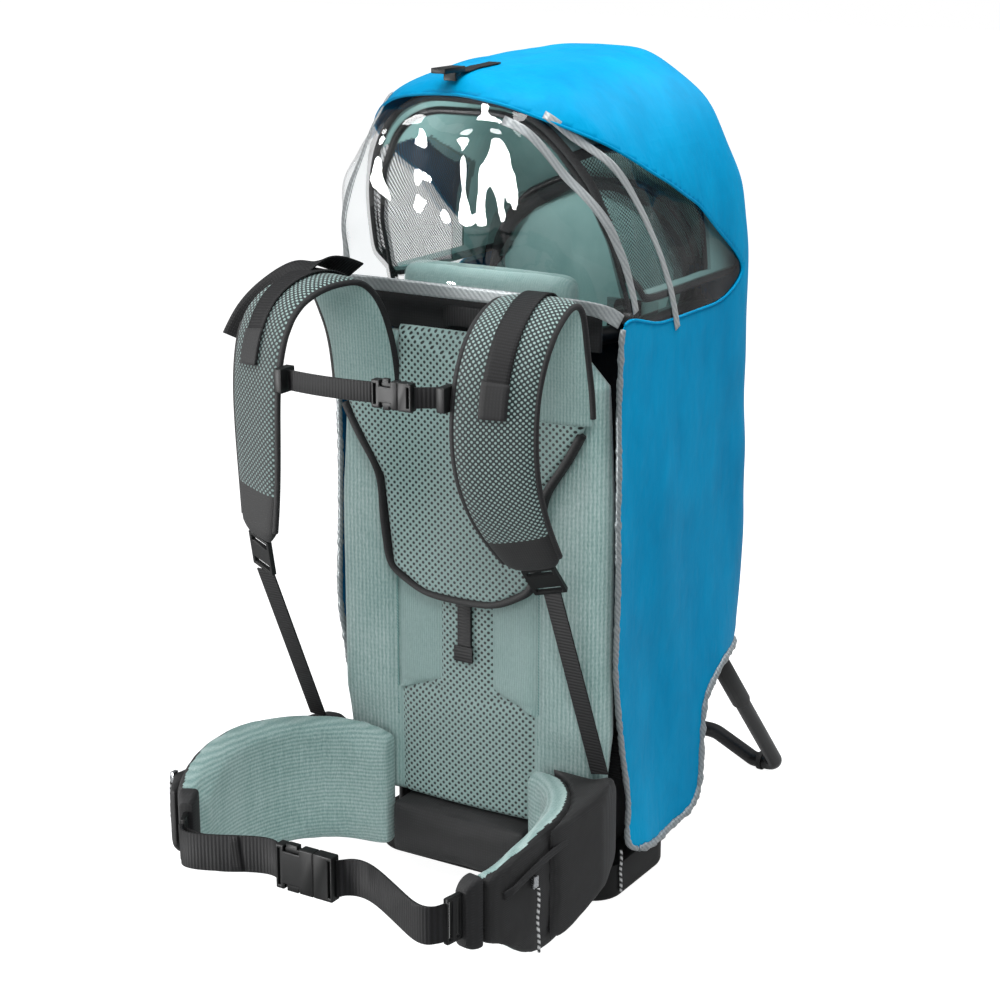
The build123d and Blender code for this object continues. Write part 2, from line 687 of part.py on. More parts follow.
# ---- kickstand ----
def leg_points(side):
    x = side * LEG_X
    return [(x, HUB_Y, HUB_Z), (x, FOOT_Y, GROUND_LEG_Z)]


def kickstand_bar():
    """Bent tube: two legs and a cross bar that rises towards its middle, with an eye at each pivot."""
    top, corner = leg_points(1)
    rise = (55, FOOT_Y + 26, GROUND_LEG_Z + 14)
    foot = (118, FOOT_Y + 2, GROUND_LEG_Z)
    right = [top, corner, foot, rise]
    points = right + [(-x, y, z) for x, y, z in reversed(right)]
    radii = [16, 14, 40, 40, 14, 16]
    bar = tube(points, radii, LEG_R)
    for side in (-1, 1):
        eye = rod(
            (side * LEG_X - BOSS_HALF, HUB_Y, HUB_Z),
            (side * LEG_X + BOSS_HALF, HUB_Y, HUB_Z),
            14,
        )
        start, end = (side * LEG_X - 20, HUB_Y, HUB_Z), (side * LEG_X + 20, HUB_Y, HUB_Z)
        hole = rod(start, end, PIN_R + PIN_CLEARANCE)
        bar = bar + eye - hole
    return bar


def along_leg(distance):
    top, corner = (Vector(*p) for p in leg_points(1))
    return top + (corner - top).normalized() * distance


def kickstand_sleeve():
    a, b = along_leg(28), along_leg(150)
    return rod(a, b, LEG_R + SLEEVE_WALL) - rod(a, b, LEG_R)


def kickstand_pad():
    """Rubber foot round the straight part of the cross bar."""
    a = Vector(LEG_X - 18, FOOT_Y + 1.1, GROUND_LEG_Z)
    b = Vector(118 + 8, FOOT_Y + 1.5, GROUND_LEG_Z)
    return rod(a, b, LEG_R + PAD_WALL)


def kickstand_pads():
    pads = pair(kickstand_pad())
    return pads - kickstand_bar()


# ---- canopy ----
def bow_points(top_r, half):
    """Arch of a bow as (x, height above its pivots), level at its crown."""
    right = arch_points(half, 0, top_r, steps=5)[:-1]
    return right + [(-x, z) for x, z in reversed(right)]


CANOPY_BOW_HALF = 138.0
CANOPY_LEAN = math.radians(-21)     # front bow leans towards the wearer
CANOPY_BOW_TOP = 223.0


def canopy_bow():
    """Front bow of the canopy, with an eye at each pivot."""
    points = [
        (x, CANOPY_PIVOT_Y + h * math.sin(CANOPY_LEAN), CANOPY_PIVOT_Z + h * math.cos(CANOPY_LEAN))
        for x, h in bow_points(CANOPY_BOW_TOP, CANOPY_BOW_HALF)
    ]
    bow = tube(points, 80, BOW_R)
    for side in (-1, 1):
        x = side * CANOPY_BOW_HALF
        eye = rod((x - 5, CANOPY_PIVOT_Y, CANOPY_PIVOT_Z), (x + 5, CANOPY_PIVOT_Y, CANOPY_PIVOT_Z), 9)
        hole = rod((x - 9, CANOPY_PIVOT_Y, CANOPY_PIVOT_Z), (x + 9, CANOPY_PIVOT_Y, CANOPY_PIVOT_Z), 3.05)
        bow = bow + eye - hole
    return bow


def canopy_pivot():
    """Bracket on the rim with the pin that the front bow turns on."""
    x = CANOPY_BOW_HALF
    pin = rod((x - 12, CANOPY_PIVOT_Y, CANOPY_PIVOT_Z), (x + 5.3, CANOPY_PIVOT_Y, CANOPY_PIVOT_Z), 3.0)
    head = rod((x + 5.3, CANOPY_PIVOT_Y, CANOPY_PIVOT_Z), (x + 7.3, CANOPY_PIVOT_Y, CANOPY_PIVOT_Z), 6.0)
    block = box((x - 16, CANOPY_PIVOT_Y - 12, RIM_Z + 2), (x - 5.5, CANOPY_PIVOT_Y + 12, CANOPY_PIVOT_Z + 9))
    return block + pin + head - rim_loop()


def canopy_pivots():
    return pair(canopy_pivot())


def canopy_rear_bow():
    """Fixed rear bow, coped onto the rim."""
    lean = math.radians(8)
    points = [
        (x, RIM_REAR_Y - 45 + h * math.sin(lean), RIM_Z + h * math.cos(lean))
        for x, h in bow_points(125, RIM_X)
    ]
    return tube(points, 60, BOW_R) - rim_loop()


# ---- shells of the canopy and the rain cover ----
def arch_points(half, z_low, z_top, power=2.4, steps=6):
    """Right half of a super-ellipse arch, from its foot to its crown."""
    points = []
    for i in range(steps + 1):
        angle = math.pi / 2 * i / steps
        x = half * math.cos(angle) ** (2 / power)
        z = z_low + (z_top - z_low) * math.sin(angle) ** (2 / power)
        points.append((x, z))
    return points


def arch_face(half, z_floor, z_low, z_top, y):
    """Upright face with straight sides and an arched top, square to Y."""
    right = arch_points(half, z_low, z_top)
    left = [(-x, z) for x, z in reversed(right[:-1])]
    crown = Spline(*(right + left), tangents=[(0, 1), (0, -1)])
    walls = Polyline((-half, z_low), (-half, z_floor), (half, z_floor), (half, z_low))
    return Plane(origin=(0, y, 0), x_dir=(1, 0, 0), z_dir=(0, -1, 0)) * make_face([crown, *walls.edges()])


def arch_block(half, z_floor, z_low, crown):
    """Solid under an arched roof; crown lists (y, height) from front to rear."""
    return loft([arch_face(half, z_floor, z_low, z, y) for y, z in crown], ruled=True)


COVER_FRONT_Z = 640.0           # lower edge of the window, on the front


HOOD_Z = 652.0                  # above this the front of the cover is rounded
DIAGONAL = math.radians(31.5)
# reach of the cover along a diagonal of its plan, against height
FRONT_SHOULDER = [(186, 640), (173, COVER_TOP_Z - 133), (124, COVER_TOP_Z - 34), (50, COVER_TOP_Z - 12)]
REAR_SHOULDER = [(252, 640), (240, COVER_TOP_Z - 143), (204, COVER_TOP_Z - 58), (140, COVER_TOP_Z - 6)]


def shoulder_block(reach, angle, grow):
    """Half space under a rounded shoulder that faces along an angle of the plan."""
    outline = [(-600, 0), (reach[0][0] + grow, 0)] + [(s + grow, z + grow) for s, z in reach]
    outline.append((-600, 900 + grow))
    radii = [1, 1, 60, 60, 60, 60, 1]
    toward = Vector(math.cos(angle), math.sin(angle), 0)
    sideways = Vector(toward.Y, -toward.X, 0)
    plane = Plane(origin=sideways * -500, x_dir=toward, z_dir=sideways)
    return extrude(plane * make_face(FilletPolyline(*outline, radius=radii, close=True)), 1000)


def cover_block(grow):
    """Filled outer form of the rain cover, grown by a few millimetres or shrunk."""
    rear = COVER_REAR_Y + grow
    top = COVER_TOP_Z + grow
    front = -93 - grow
    side = [
        (front, 20), (rear - 36, 20), (rear - 37, 205), (rear - 16, 385), (rear - 5, 500), (rear, 610),
        (rear - 8, 714), (rear - 34, 800), (rear - 100, top + 6), (-105, top + 6),
        (-139 - grow, 800), (-124 - grow, 700), (front, 652),
    ]
    radii = [5, 5, 60, 60, 60, 60, 60, 60, 50, 40, 40, 40, 20]
    face = make_face(FilletPolyline(*side, radius=radii, close=True))
    plane = Plane(origin=(-200, 0, 0), x_dir=(0, 1, 0), z_dir=(1, 0, 0))
    profile = extrude(plane * face, 400)
    crown = [(-300, top - 24), (-140, top - 14), (60, top), (400, top)]
    arch = arch_block(COVER_HALF_WIDTH + grow, 0, 640, crown)
    block = profile & arch & (plan_block(grow, -93, 8, 0, HOOD_Z) + plan_block(grow, -139, 95, HOOD_Z, 1000))
    for shoulder, angle in ((FRONT_SHOULDER, -DIAGONAL), (REAR_SHOULDER, DIAGONAL)):
        cut = shoulder_block(shoulder, angle, grow)
        block = block & cut & mirrored(cut)
    return block


def plan_block(grow, front_y, front_r, z_low, z_high):
    """Plan outline of the cover with rounded corners, extruded between two heights."""
    half = COVER_HALF_WIDTH + grow
    rear = COVER_REAR_Y + grow
    front = front_y - grow
    corners = [(half, front), (half, rear), (-half, rear), (-half, front)]
    outline = FilletPolyline(*corners, radius=[front_r, 95, 95, front_r], close=True)
    return extrude(Pos(0, 0, z_low) * make_face(outline), z_high - z_low)


def cover_trim():
    """Everything below the cover's lower edge: its curved hem and the notch for the kickstand."""
    points = [(-150, -20), (320, -20), (320, 206), (165, 210), (122, 176), (121, 74), (98, 54)]
    points += [(28, 46), (-56, 64), (-150, 64)]
    face = make_face(Polyline(*points, close=True))
    plane = Plane(origin=(-250, 0, 0), x_dir=(0, 1, 0), z_dir=(1, 0, 0))
    return extrude(plane * face, 500)


def front_trim():
    """What is cut away in front: the slanting front edges of the side panels."""
    points = [(-300, 0), (-54, 0), (-47, 122), (-66, 195), (-84, 300)]
    points += [(-84, COVER_FRONT_Z), (-300, COVER_FRONT_Z)]
    face = make_face(Polyline(*points, close=True))
    plane = Plane(origin=(-250, 0, 0), x_dir=(0, 1, 0), z_dir=(1, 0, 0))
    return extrude(plane * face, 500)


def cover_skin():
    return cover_block(0) - cover_block(-COVER_WALL) - cover_trim() - front_trim()


def window_zone():
    """Side view of the clear window, extruded across the cover."""
    points = [(-260, 640), (-100, 640), (0, 612), (150, 614), (198, 634), (94, 715), (-15, 768)]
    points += [(-112, 818), (-137, 846), (-260, 846)]
    face = make_face(Polyline(*points, close=True))
    plane = Plane(origin=(-250, 0, 0), x_dir=(0, 1, 0), z_dir=(1, 0, 0))
    return extrude(plane * face, 500)


def cover_shell():
    return cover_skin() - window_zone()


def cover_window():
    return cover_skin() & window_zone()


def cover_hook():
    """Plastic hook on a short webbing loop at the front of the crown."""
    y, z = -118, COVER_TOP_Z - 12
    foot = box((-7, y - 2, z - 8), (7, y + 8, z))
    plate = box((-8, y - 22, z), (8, y + 14, z + 5))
    return foot + plate - cover_block(SOFT_GAP)


def canopy_block(grow):
    rear = RIM_REAR_Y + 24 + grow
    top = CANOPY_TOP_Z + grow
    side = [(-160, 560), (rear, 560), (rear, 690), (150, 800), (60, top), (-40, top), (-160, top - 10)]
    face = make_face(FilletPolyline(*side, radius=[4, 4, 50, 50, 50, 50, 4], close=True))
    plane = Plane(origin=(-200, 0, 0), x_dir=(0, 1, 0), z_dir=(1, 0, 0))
    profile = extrude(plane * face, 400)
    arch = arch_block(CANOPY_HALF_WIDTH + grow, 500, 616, [(-300, top), (400, top)])
    return profile & arch


def canopy_fabric():
    """Sunshade from the front bow to the rear of the rim, open in front and below."""
    skin = canopy_block(0) - canopy_block(-CANOPY_WALL)
    floor = box((-250, -250, 500), (250, 400, 628))
    ahead = CANOPY_PIVOT_Y - 8 - 218 * math.tan(-CANOPY_LEAN)
    front_points = [(-300, 500), (0, 500), (-4, 640), (-35, 662), (ahead, 834), (ahead, 900), (-300, 900)]
    face = make_face(Polyline(*front_points, close=True))
    plane = Plane(origin=(-250, 0, 0), x_dir=(0, 1, 0), z_dir=(1, 0, 0))
    return skin - floor - extrude(plane * face, 500)


# ---- zip pulls ----
def zip_slider(x, y, z, outward):
    low_x, high_x = sorted((x, x + outward * 4))
    return box((low_x, y - 4, z - 6), (high_x, y + 4, z + 6))


RIGHT_CORD = [(185.5, -262, 118), (186.5, -262.5, 103), (185.2, -264, 86), (187, -263, 68), (186, -261.5, 52)]
LEFT_CORD = [(-232.5, -292, 150), (-233.5, -292.5, 136), (-232, -294, 120)]
LEFT_CORD += [(-233.8, -293, 104), (-233, -292, 92)]
BASE_CORD = [(1, -30, 56), (2.2, -30.5, 45), (1.2, -31.5, 33), (2, -30.5, 21), (1.6, -30, 9)]
BASE_CORD = [(BASE_HALF_WIDTH + x, y, z) for x, y, z in BASE_CORD]      # hangs beside the base


def cord(points):
    """Limp cord along straight runs and the largest arcs they allow."""
    radii = []
    for a, b, c in zip(points, points[1:], points[2:]):
        back = Vector(*b) - Vector(*a)
        ahead = Vector(*c) - Vector(*b)
        turn = math.radians(back.get_angle(ahead))
        radii.append(0.45 * min(back.length, ahead.length) / math.tan(turn / 2))
    print("cord radii", [round(r, 1) for r in radii])
    return tube(points, radii, CORD_R)


# ---- what is written ----
def parts():
    return {
        "back_frame": back_frame,
        "rim_loop": rim_loop,
        "side_struts": lambda: pair(side_strut()),
        "hub_plates": lambda: pair(hub_plate()),
        "pivot_pins": lambda: pair(pivot_pin()),
        "base_tray": base_tray,
        "lower_bag": lower_bag,
        "bag_flap": bag_flap,
        "cockpit_shell": cockpit_shell,
        "seat_cushion": seat_cushion,
        "headrest_panel": headrest_panel,
        "drool_pad": drool_pad,
        "child_harness": child_harness,
        "child_buckle": child_buckle,
        "child_buckle_button": child_buckle_button,
        "stirrup_right": stirrup,
        "stirrup_left": lambda: mirrored(stirrup()),
        "back_panel": back_panel,
        "lumbar_band": lumbar_band,
        "top_panel": top_panel,
        "grab_handle": grab_handle,
        "hip_wing_right": lambda: hip_wing(RIGHT_WING, RIGHT_LEVELS),
        "hip_wing_left": lambda: hip_wing(LEFT_WING, LEFT_LEVELS),
        "hip_pocket_right": lambda: hip_pocket(RIGHT_WING, RIGHT_LEVELS, RIGHT_POCKET),
        "hip_pocket_left": lambda: hip_pocket(LEFT_WING, LEFT_LEVELS, LEFT_POCKET),
        "wing_caps": lambda: on_wings(wing_cap),
        "belt_triglides": lambda: on_wings(triglide),
        "belt_webbing": belt_webbing,
        "hip_buckle_female": hip_buckle_female,
        "hip_buckle_male": hip_buckle_male,
        "hip_prong_upper": lambda: hip_prong(1),
        "hip_prong_lower": lambda: hip_prong(-1),
        "yoke_pad": yoke_pad,
        "shoulder_pad_right": lambda: shoulder_pad(1),
        "shoulder_pad_left": lambda: shoulder_pad(-1),
        "load_lifters": lambda: Compound(children=[load_lifter(1), load_lifter(-1)]),
        "ladder_locks": lambda: Compound(children=[ladder_lock(1), ladder_lock(-1)]),
        "lower_webbing": lambda: Compound(children=[lower_webbing(1), lower_webbing(-1)]),
        "pull_tab": pull_tab,
        "chest_clips": lambda: Compound(children=[chest_clip(1), chest_clip(-1)]),
        "chest_webbing": chest_webbing,
        "chest_buckle_female": chest_buckle_female,
        "chest_buckle_male": chest_buckle_male,
        "chest_prong_upper": lambda: chest_prong(1),
        "chest_prong_lower": lambda: chest_prong(-1),
        "kickstand_bar": kickstand_bar,
        "kickstand_sleeves": lambda: pair(kickstand_sleeve()),
        "kickstand_pads": kickstand_pads,
        "canopy_bow": canopy_bow,
        "canopy_pivots": canopy_pivots,
        "canopy_rear_bow": canopy_rear_bow,
        "canopy_fabric": canopy_fabric,
        "cover_shell": cover_shell,
        "cover_window": cover_window,
        "cover_hook": cover_hook,
        "zip_slider_right": lambda: zip_slider(179.4, -262, 124, 1),
        "zip_slider_left": lambda: zip_slider(-226.4, -292, 150, -1),
        "zip_cord_right": lambda: cord(RIGHT_CORD),
        "zip_cord_left": lambda: cord(LEFT_CORD),
        "base_zip_cord": lambda: cord(BASE_CORD),
    }


def main():
    os.makedirs("parts", exist_ok=True)
    for name, make in parts().items():
        export_step(make(), f"parts/{name}.step")
        print(name)


main()
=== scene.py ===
"""Looks of a framed child carrier backpack with a rain cover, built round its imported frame. Lengths are in metres."""
import math
import bmesh
import bpy
import numpy as np
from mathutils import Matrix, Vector, noise
from mathutils.bvhtree import BVHTree


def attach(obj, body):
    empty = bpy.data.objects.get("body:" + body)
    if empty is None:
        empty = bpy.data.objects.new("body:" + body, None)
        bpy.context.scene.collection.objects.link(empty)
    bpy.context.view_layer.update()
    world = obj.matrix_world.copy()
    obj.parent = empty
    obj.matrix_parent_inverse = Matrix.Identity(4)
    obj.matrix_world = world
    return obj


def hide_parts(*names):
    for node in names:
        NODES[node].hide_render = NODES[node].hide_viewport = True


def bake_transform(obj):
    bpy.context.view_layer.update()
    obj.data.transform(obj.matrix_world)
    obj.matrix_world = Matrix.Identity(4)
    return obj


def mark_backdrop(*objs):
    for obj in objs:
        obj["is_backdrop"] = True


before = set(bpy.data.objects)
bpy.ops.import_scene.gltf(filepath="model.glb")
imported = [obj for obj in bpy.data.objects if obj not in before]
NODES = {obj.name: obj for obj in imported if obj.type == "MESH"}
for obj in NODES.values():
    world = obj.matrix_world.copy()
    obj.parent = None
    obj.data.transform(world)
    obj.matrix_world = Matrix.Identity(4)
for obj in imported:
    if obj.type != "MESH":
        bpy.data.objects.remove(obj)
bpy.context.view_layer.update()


# ---- materials ----
def srgb(code):
    """Linear RGBA of a hex sRGB colour."""
    values = [int(code[i:i + 2], 16) / 255 for i in (1, 3, 5)]
    linear = [v / 12.92 if v <= 0.04045 else ((v + 0.055) / 1.055) ** 2.4 for v in values]
    return (*linear, 1.0)


def begin(name, color, rough, **inputs):
    """New material of one even finish; the nodes added to it afterwards give it its grain."""
    made = bpy.data.materials.new(name)
    made.use_nodes = True
    shader = made.node_tree.nodes["Principled BSDF"]
    for socket, value in {"Base Color": srgb(color), "Roughness": rough, **inputs}.items():
        shader.inputs[socket.replace("_", " ")].default_value = value
    return made


def add(m, kind, inputs, out=0, stops=(), **settings):
    """Adds a node with its settings and inputs, each a value or another node's output; no kind is the own shader."""
    tree = m.node_tree
    node = tree.nodes.new("ShaderNode" + kind) if kind else tree.nodes["Principled BSDF"]
    for name, value in settings.items():
        setattr(node, name, value)
    for socket, value in inputs.items():
        if isinstance(value, bpy.types.NodeSocket):
            tree.links.new(value, node.inputs[socket])
        else:
            node.inputs[socket].default_value = value
    if stops:
        ramp = node.color_ramp.elements
        ramp[0].position, ramp[1].position = stops[0][0], stops[-1][0]
        for position, _ in stops[1:-1]:
            ramp.new(position)
        for element, (_, code) in zip(ramp, stops):
            element.color = srgb(code)
    return node.outputs[out]


def total(m, base, *parts):
    """Sum of a number and of patterns, each times its share."""
    for pattern, share in parts:
        base = add(m, "Math", {0: pattern, 1: share, 2: base}, operation="MULTIPLY_ADD")
    return base


def threads(spacing):
    """Scale of a wave texture whose light and dark bands are each about one spacing wide."""
    return 1 / spacing / 6.28


def finish(m, tone, stops, relief, rough=None):
    """Colours a tone by its stops, and lays reliefs (height, strength, depth) over each other, the last on top."""
    links = {"Base Color": add(m, "ValToRGB", {0: tone}, stops=stops)} if stops else {"Base Color": tone}
    normal = {}
    for height, strength, depth in relief:
        normal = {"Normal": add(m, "Bump", {"Height": height, "Strength": strength, "Distance": depth, **normal})}
    if rough is not None:
        links["Roughness"] = rough
    add(m, "", {**links, **normal})
    return m


UPRIGHT = (math.pi / 2, 0, 0)               # turns X and Z of the object into the X and Y of a flat pattern
DIAGONAL = (0, 0, math.pi / 4)


def knit(name, dark, mid, light, plane="XZ", pitch=0.0021, tilt=0.5):
    """Heather polyester knit: pale and dark yarn in fine slanting ribs, with a soft sheen and no gloss."""
    m = begin(name, mid, 0.85, Sheen_Weight=0.25, Sheen_Roughness=0.5)
    place = add(m, "TexCoord", {}, "Object")
    turn = UPRIGHT if plane == "XZ" else (math.pi / 2, 0, math.pi / 2)
    slant = (turn[0], tilt if plane == "XZ" else 0, turn[2])
    ribs, rows = [add(m, "TexWave", {"Vector": add(m, "Mapping", {"Vector": place, "Rotation": way}),
                                     "Scale": threads(pitch), "Distortion": uneven}, "Fac", bands_direction=axis)
                  for way, axis, uneven in ((slant, "X", 1.2), (turn, "Y", 0.6))]
    long_fleck = add(m, "Mapping", {"Vector": place, "Scale": (1, 1, 0.25)})
    fleck = add(m, "TexNoise", {"Vector": long_fleck, "Scale": 900, "Detail": 2}, "Fac")
    soft = add(m, "TexNoise", {"Vector": place, "Scale": 14, "Detail": 3}, "Fac")
    weave = total(m, 0.0, (ribs, 0.85), (rows, 0.15))
    tone = total(m, -0.175, (weave, 0.30), (fleck, 0.7), (soft, 0.35))
    relief = total(m, 0.0, (fleck, 0.5), (weave, 1.0))
    return finish(m, tone, [(0.22, dark), (0.5, mid), (0.8, light)], [(relief, 0.5, 0.0006)])


def spacer_mesh():
    """Knitted polyester spacer mesh: matt pale yarn round staggered holes, 7.6 mm apart; the holes are painted near
    black, a painted shade in their depth.
    """
    m = begin("teal_spacer_mesh", "#98BAB6", 0.8, Sheen_Weight=0.2)
    place = add(m, "TexCoord", {}, "Object")
    per_hole = 1.414 / 0.0076
    lattice = add(m, "Mapping", {"Vector": add(m, "Mapping", {"Vector": place, "Rotation": UPRIGHT}),
                                 "Rotation": DIAGONAL, "Scale": (per_hole, per_hole, 1.0)})
    distance = add(m, "TexVoronoi", {"Vector": lattice, "Scale": 1.0, "Randomness": 0.0}, "Distance",
                   voronoi_dimensions="2D")
    solid = add(m, "ValToRGB", {0: distance}, stops=[(0.24, "#000000"), (0.35, "#FFFFFF")])
    fleck = add(m, "TexNoise", {"Vector": place, "Scale": 1300, "Detail": 2}, "Fac")
    soft = add(m, "TexNoise", {"Vector": place, "Scale": 11, "Detail": 3}, "Fac")
    yarn = add(m, "ValToRGB", {0: fleck}, stops=[(0.3, "#98BAB6"), (0.75, "#BAD2CE")])
    worn = add(m, "Mix", {0: total(m, 0.0, (soft, 0.35)), 6: yarn, 7: srgb("#6F9490")}, 2, data_type="RGBA")
    # the holes are painted near black: painted shade in their depth
    color = add(m, "Mix", {0: solid, 6: srgb("#16211F"), 7: worn}, 2, data_type="RGBA")
    return finish(m, color, None, [(fleck, 0.3, 0.0004), (distance, 0.8, 0.0016)])


def strap_mesh():
    """Dark polyester mesh of the shoulder pads' outer face, with rows of small pale diamonds 5.6 mm apart."""
    m = begin("strap_mesh", "#1B2525", 0.8, Sheen_Weight=0.2)
    place = add(m, "TexCoord", {}, "UV")
    per_cell = 1.414 / 0.0056
    lattice = add(m, "Mapping", {"Vector": place, "Rotation": DIAGONAL, "Scale": (per_cell, per_cell, 1)})
    distance = add(m, "TexVoronoi", {"Vector": lattice, "Scale": 1.0, "Randomness": 0.0}, "Distance",
                   voronoi_dimensions="2D")
    yarn = add(m, "TexNoise", {"Vector": place, "Scale": 900, "Detail": 2}, "Fac")
    raised = total(m, 1.0, (distance, -1.0))
    return finish(m, total(m, 0.0, (yarn, 0.08), (distance, 1.0)),
                  [(0.25, "#A4BEBA"), (0.35, "#6C8A87"), (0.43, "#1C2526")], [(raised, 0.6, 0.0012)])


def webbing():
    """Woven polypropylene strap: black and a little glossy; the ribs that cross it and its yarns are painted lighter, a
    painted sheen.
    """
    m = begin("black_webbing", "#080809", 0.7, Specular_IOR_Level=0.3)
    place = add(m, "TexCoord", {}, "UV")
    ribs, cross = [add(m, "TexWave", {"Vector": place, "Scale": threads(spacing), "Distortion": uneven}, "Fac",
                       bands_direction=axis) for spacing, uneven, axis in ((0.0016, 0.4, "Y"), (0.0011, 0.2, "X"))]
    grain = add(m, "TexNoise", {"Vector": place, "Scale": 700, "Detail": 3}, "Fac")
    weave = add(m, "Math", {0: ribs, 1: total(m, 0.5, (cross, 0.5))}, operation="MULTIPLY")
    # the weave and grain are painted lighter than the black: a painted sheen on the ribs and yarns
    return finish(m, total(m, 0.0, (weave, 0.6), (grain, 0.5)), [(0.25, "#080809"), (0.9, "#1C1C1F")],
                  [(weave, 0.7, 0.0005)])


def web_node(name, along):
    """The same strap on object coordinates: ribs across the way that it runs, painted lighter as a painted sheen."""
    m = begin(name, "#080809", 0.7, Specular_IOR_Level=0.3)
    place = add(m, "TexCoord", {}, "Object")
    ribs = add(m, "TexWave", {"Vector": place, "Scale": threads(0.0017), "Distortion": 0.3}, "Fac",
               bands_direction=along)
    grain = add(m, "TexNoise", {"Vector": place, "Scale": 900, "Detail": 3}, "Fac")
    # the ribs are painted lighter than the black: a painted sheen
    return finish(m, total(m, 0.0, (ribs, 0.5), (grain, 0.6)), [(0.25, "#080809"), (0.95, "#1D1D20")],
                  [(ribs, 0.6, 0.0005)])


def black_cloth(name, dark="#09090A", light="#1F2022", pitch=0.0011, rough=0.78):
    """Plain woven polyester: matt black with a faint square weave and soft unevenness."""
    m = begin(name, dark, rough, Sheen_Weight=0.03)
    place = add(m, "TexCoord", {}, "Object")
    warp, weft = [add(m, "TexWave", {"Vector": place, "Scale": threads(pitch), "Distortion": 0.3}, "Fac",
                      bands_direction=axis) for axis in "XZ"]
    weave = add(m, "Math", {0: warp, 1: weft}, operation="MULTIPLY")
    soft = add(m, "TexNoise", {"Vector": place, "Scale": 30, "Detail": 4}, "Fac")
    return finish(m, total(m, 0.0, (weave, 0.3), (soft, 0.6)), [(0.2, dark), (0.85, light)],
                  [(soft, 0.25, 0.002), (weave, 0.4, 0.0004)])


def ripstop(name, deep, mid, light, rough=0.42, gloss=0.3):
    """Light coated nylon: bright colour, a 5 mm square grid of thicker threads, and small creases; the colour is
    painted darker in the creases' hollows and lighter on their ridges, a painted shade and highlight.
    """
    m = begin(name, mid, rough, Specular_IOR_Level=gloss)
    place = add(m, "TexCoord", {}, "Object")
    grid = 0.0
    for axis in "XYZ":
        band = add(m, "TexWave", {"Vector": place, "Scale": threads(0.005)}, "Fac", bands_direction=axis)
        grid = total(m, grid, (add(m, "Math", {0: band, 1: 18}, operation="POWER"), 1.0))
    crease, fine = [add(m, "TexNoise", {"Vector": add(m, "Mapping", {"Vector": place, "Scale": (1, 1, drawn)}),
                                        "Scale": scale, "Detail": 4, "Roughness": ragged}, "Fac")
                    for drawn, scale, ragged in ((0.45, 9, 0.6), (0.6, 46, 0.65))]
    # the colour follows the same crease noise as the bumps: painted shade in the hollows of the creases and painted
    # light on their ridges
    return finish(m, total(m, 0.0, (crease, 0.8), (fine, 0.2)), [(0.3, deep), (0.5, mid), (0.72, light)],
                  [(grid, 0.12, 0.0002), (fine, 0.4, 0.0025), (crease, 0.35, 0.012)])


def tape(name, base, light):
    """Grey coated tape of the window and hems: a dull metallic glint over a slanting weave."""
    m = begin(name, base, 0.45, Metallic=0.25, Sheen_Weight=0.2)
    place = add(m, "TexCoord", {}, "Object")
    grain = add(m, "TexNoise", {"Vector": place, "Scale": 700, "Detail": 3}, "Fac")
    weave = add(m, "TexWave", {"Vector": place, "Scale": threads(0.0016), "Distortion": 0.4}, "Fac",
                bands_direction="DIAGONAL")
    return finish(m, total(m, 0.0, (grain, 0.6), (weave, 0.3)), [(0.25, base), (0.8, light)],
                  [(weave, 0.35, 0.0004)])


def moulded(name, code, light, rough, gloss, grains, tones, edges, uneven, relief):
    """Hard smooth finish with a fine grain, and a gloss that is uneven as if handled."""
    m = begin(name, code, rough, Specular_IOR_Level=gloss)
    place = add(m, "TexCoord", {}, "Object")
    fine, cloud = [add(m, "TexNoise", {"Vector": place, "Scale": scale, "Detail": detail}, "Fac")
                   for scale, detail in grains]
    return finish(m, total(m, 0.0, (fine, tones[0]), (cloud, tones[1])), [(edges[0], edges[1]), (edges[2], light)],
                  [(fine, relief, 0.0003)], total(m, uneven[1], (cloud, uneven[0])))


def plastic(name, code, light, rough):
    """Moulded nylon buckles: half matt from a fine spark-eroded mould, with slightly worn high spots."""
    return moulded(name, code, light, rough, 0.26, ((1400, 2), (40, 3)), (0.3, 0.7), (0.35, code, 0.8),
                   (0.16, rough - 0.08), 0.12)


def coated_tube():
    """Powder-coated aluminium tube: black, half gloss, with a faint orange-peel speck."""
    return moulded("black_tube", "#101112", "#191A1C", 0.42, 0.35, ((1800, 2), (25, 4)), (0.35, 0.6),
                   (0.3, "#0B0B0C", 0.75), (0.2, 0.28), 0.18)


def turned_steel():
    """Turned steel pins: bright, with a fine uneven brushing."""
    m = begin("pin_steel", "#8C8F92", 0.25, Metallic=1.0)
    place = add(m, "TexCoord", {}, "Object")
    brushed = add(m, "TexNoise", {"Vector": place, "Scale": 600, "Detail": 3}, "Fac")
    return finish(m, brushed, [(0.3, "#8C8F92"), (0.8, "#C9CBCD")], [(brushed, 0.08, 0.0002)],
                  total(m, 0.15, (brushed, 0.2)))


def rubber():
    """Moulded rubber feet: dull black with a fine dusty grain."""
    m = begin("rubber_pad", "#131313", 0.75)
    fine = add(m, "TexNoise", {"Vector": add(m, "TexCoord", {}, "Object"), "Scale": 1100, "Detail": 3}, "Fac")
    return finish(m, fine, [(0.3, "#101010"), (0.8, "#242424")], [(fine, 0.3, 0.0005)])


def clear_film():
    """Thin clear vinyl: nearly all light goes straight through, and its coat gives the sharp uneven gloss."""
    m = begin("clear_film", "#E2E8EA", 0.05, Alpha=0.42, Transmission_Weight=1.0, IOR=1.05,
              Coat_Weight=1.0, Coat_IOR=1.9, Coat_Roughness=0.02)
    place = add(m, "Mapping", {"Vector": add(m, "TexCoord", {}, "Object"), "Scale": (1, 1, 0.7)})
    crease = add(m, "TexNoise", {"Vector": place, "Scale": 13, "Detail": 1.5, "Roughness": 0.4}, "Fac")
    normal = add(m, "Bump", {"Height": crease, "Strength": 0.55, "Distance": 0.016})
    add(m, "", {"Coat Normal": normal, "Normal": normal})
    return m


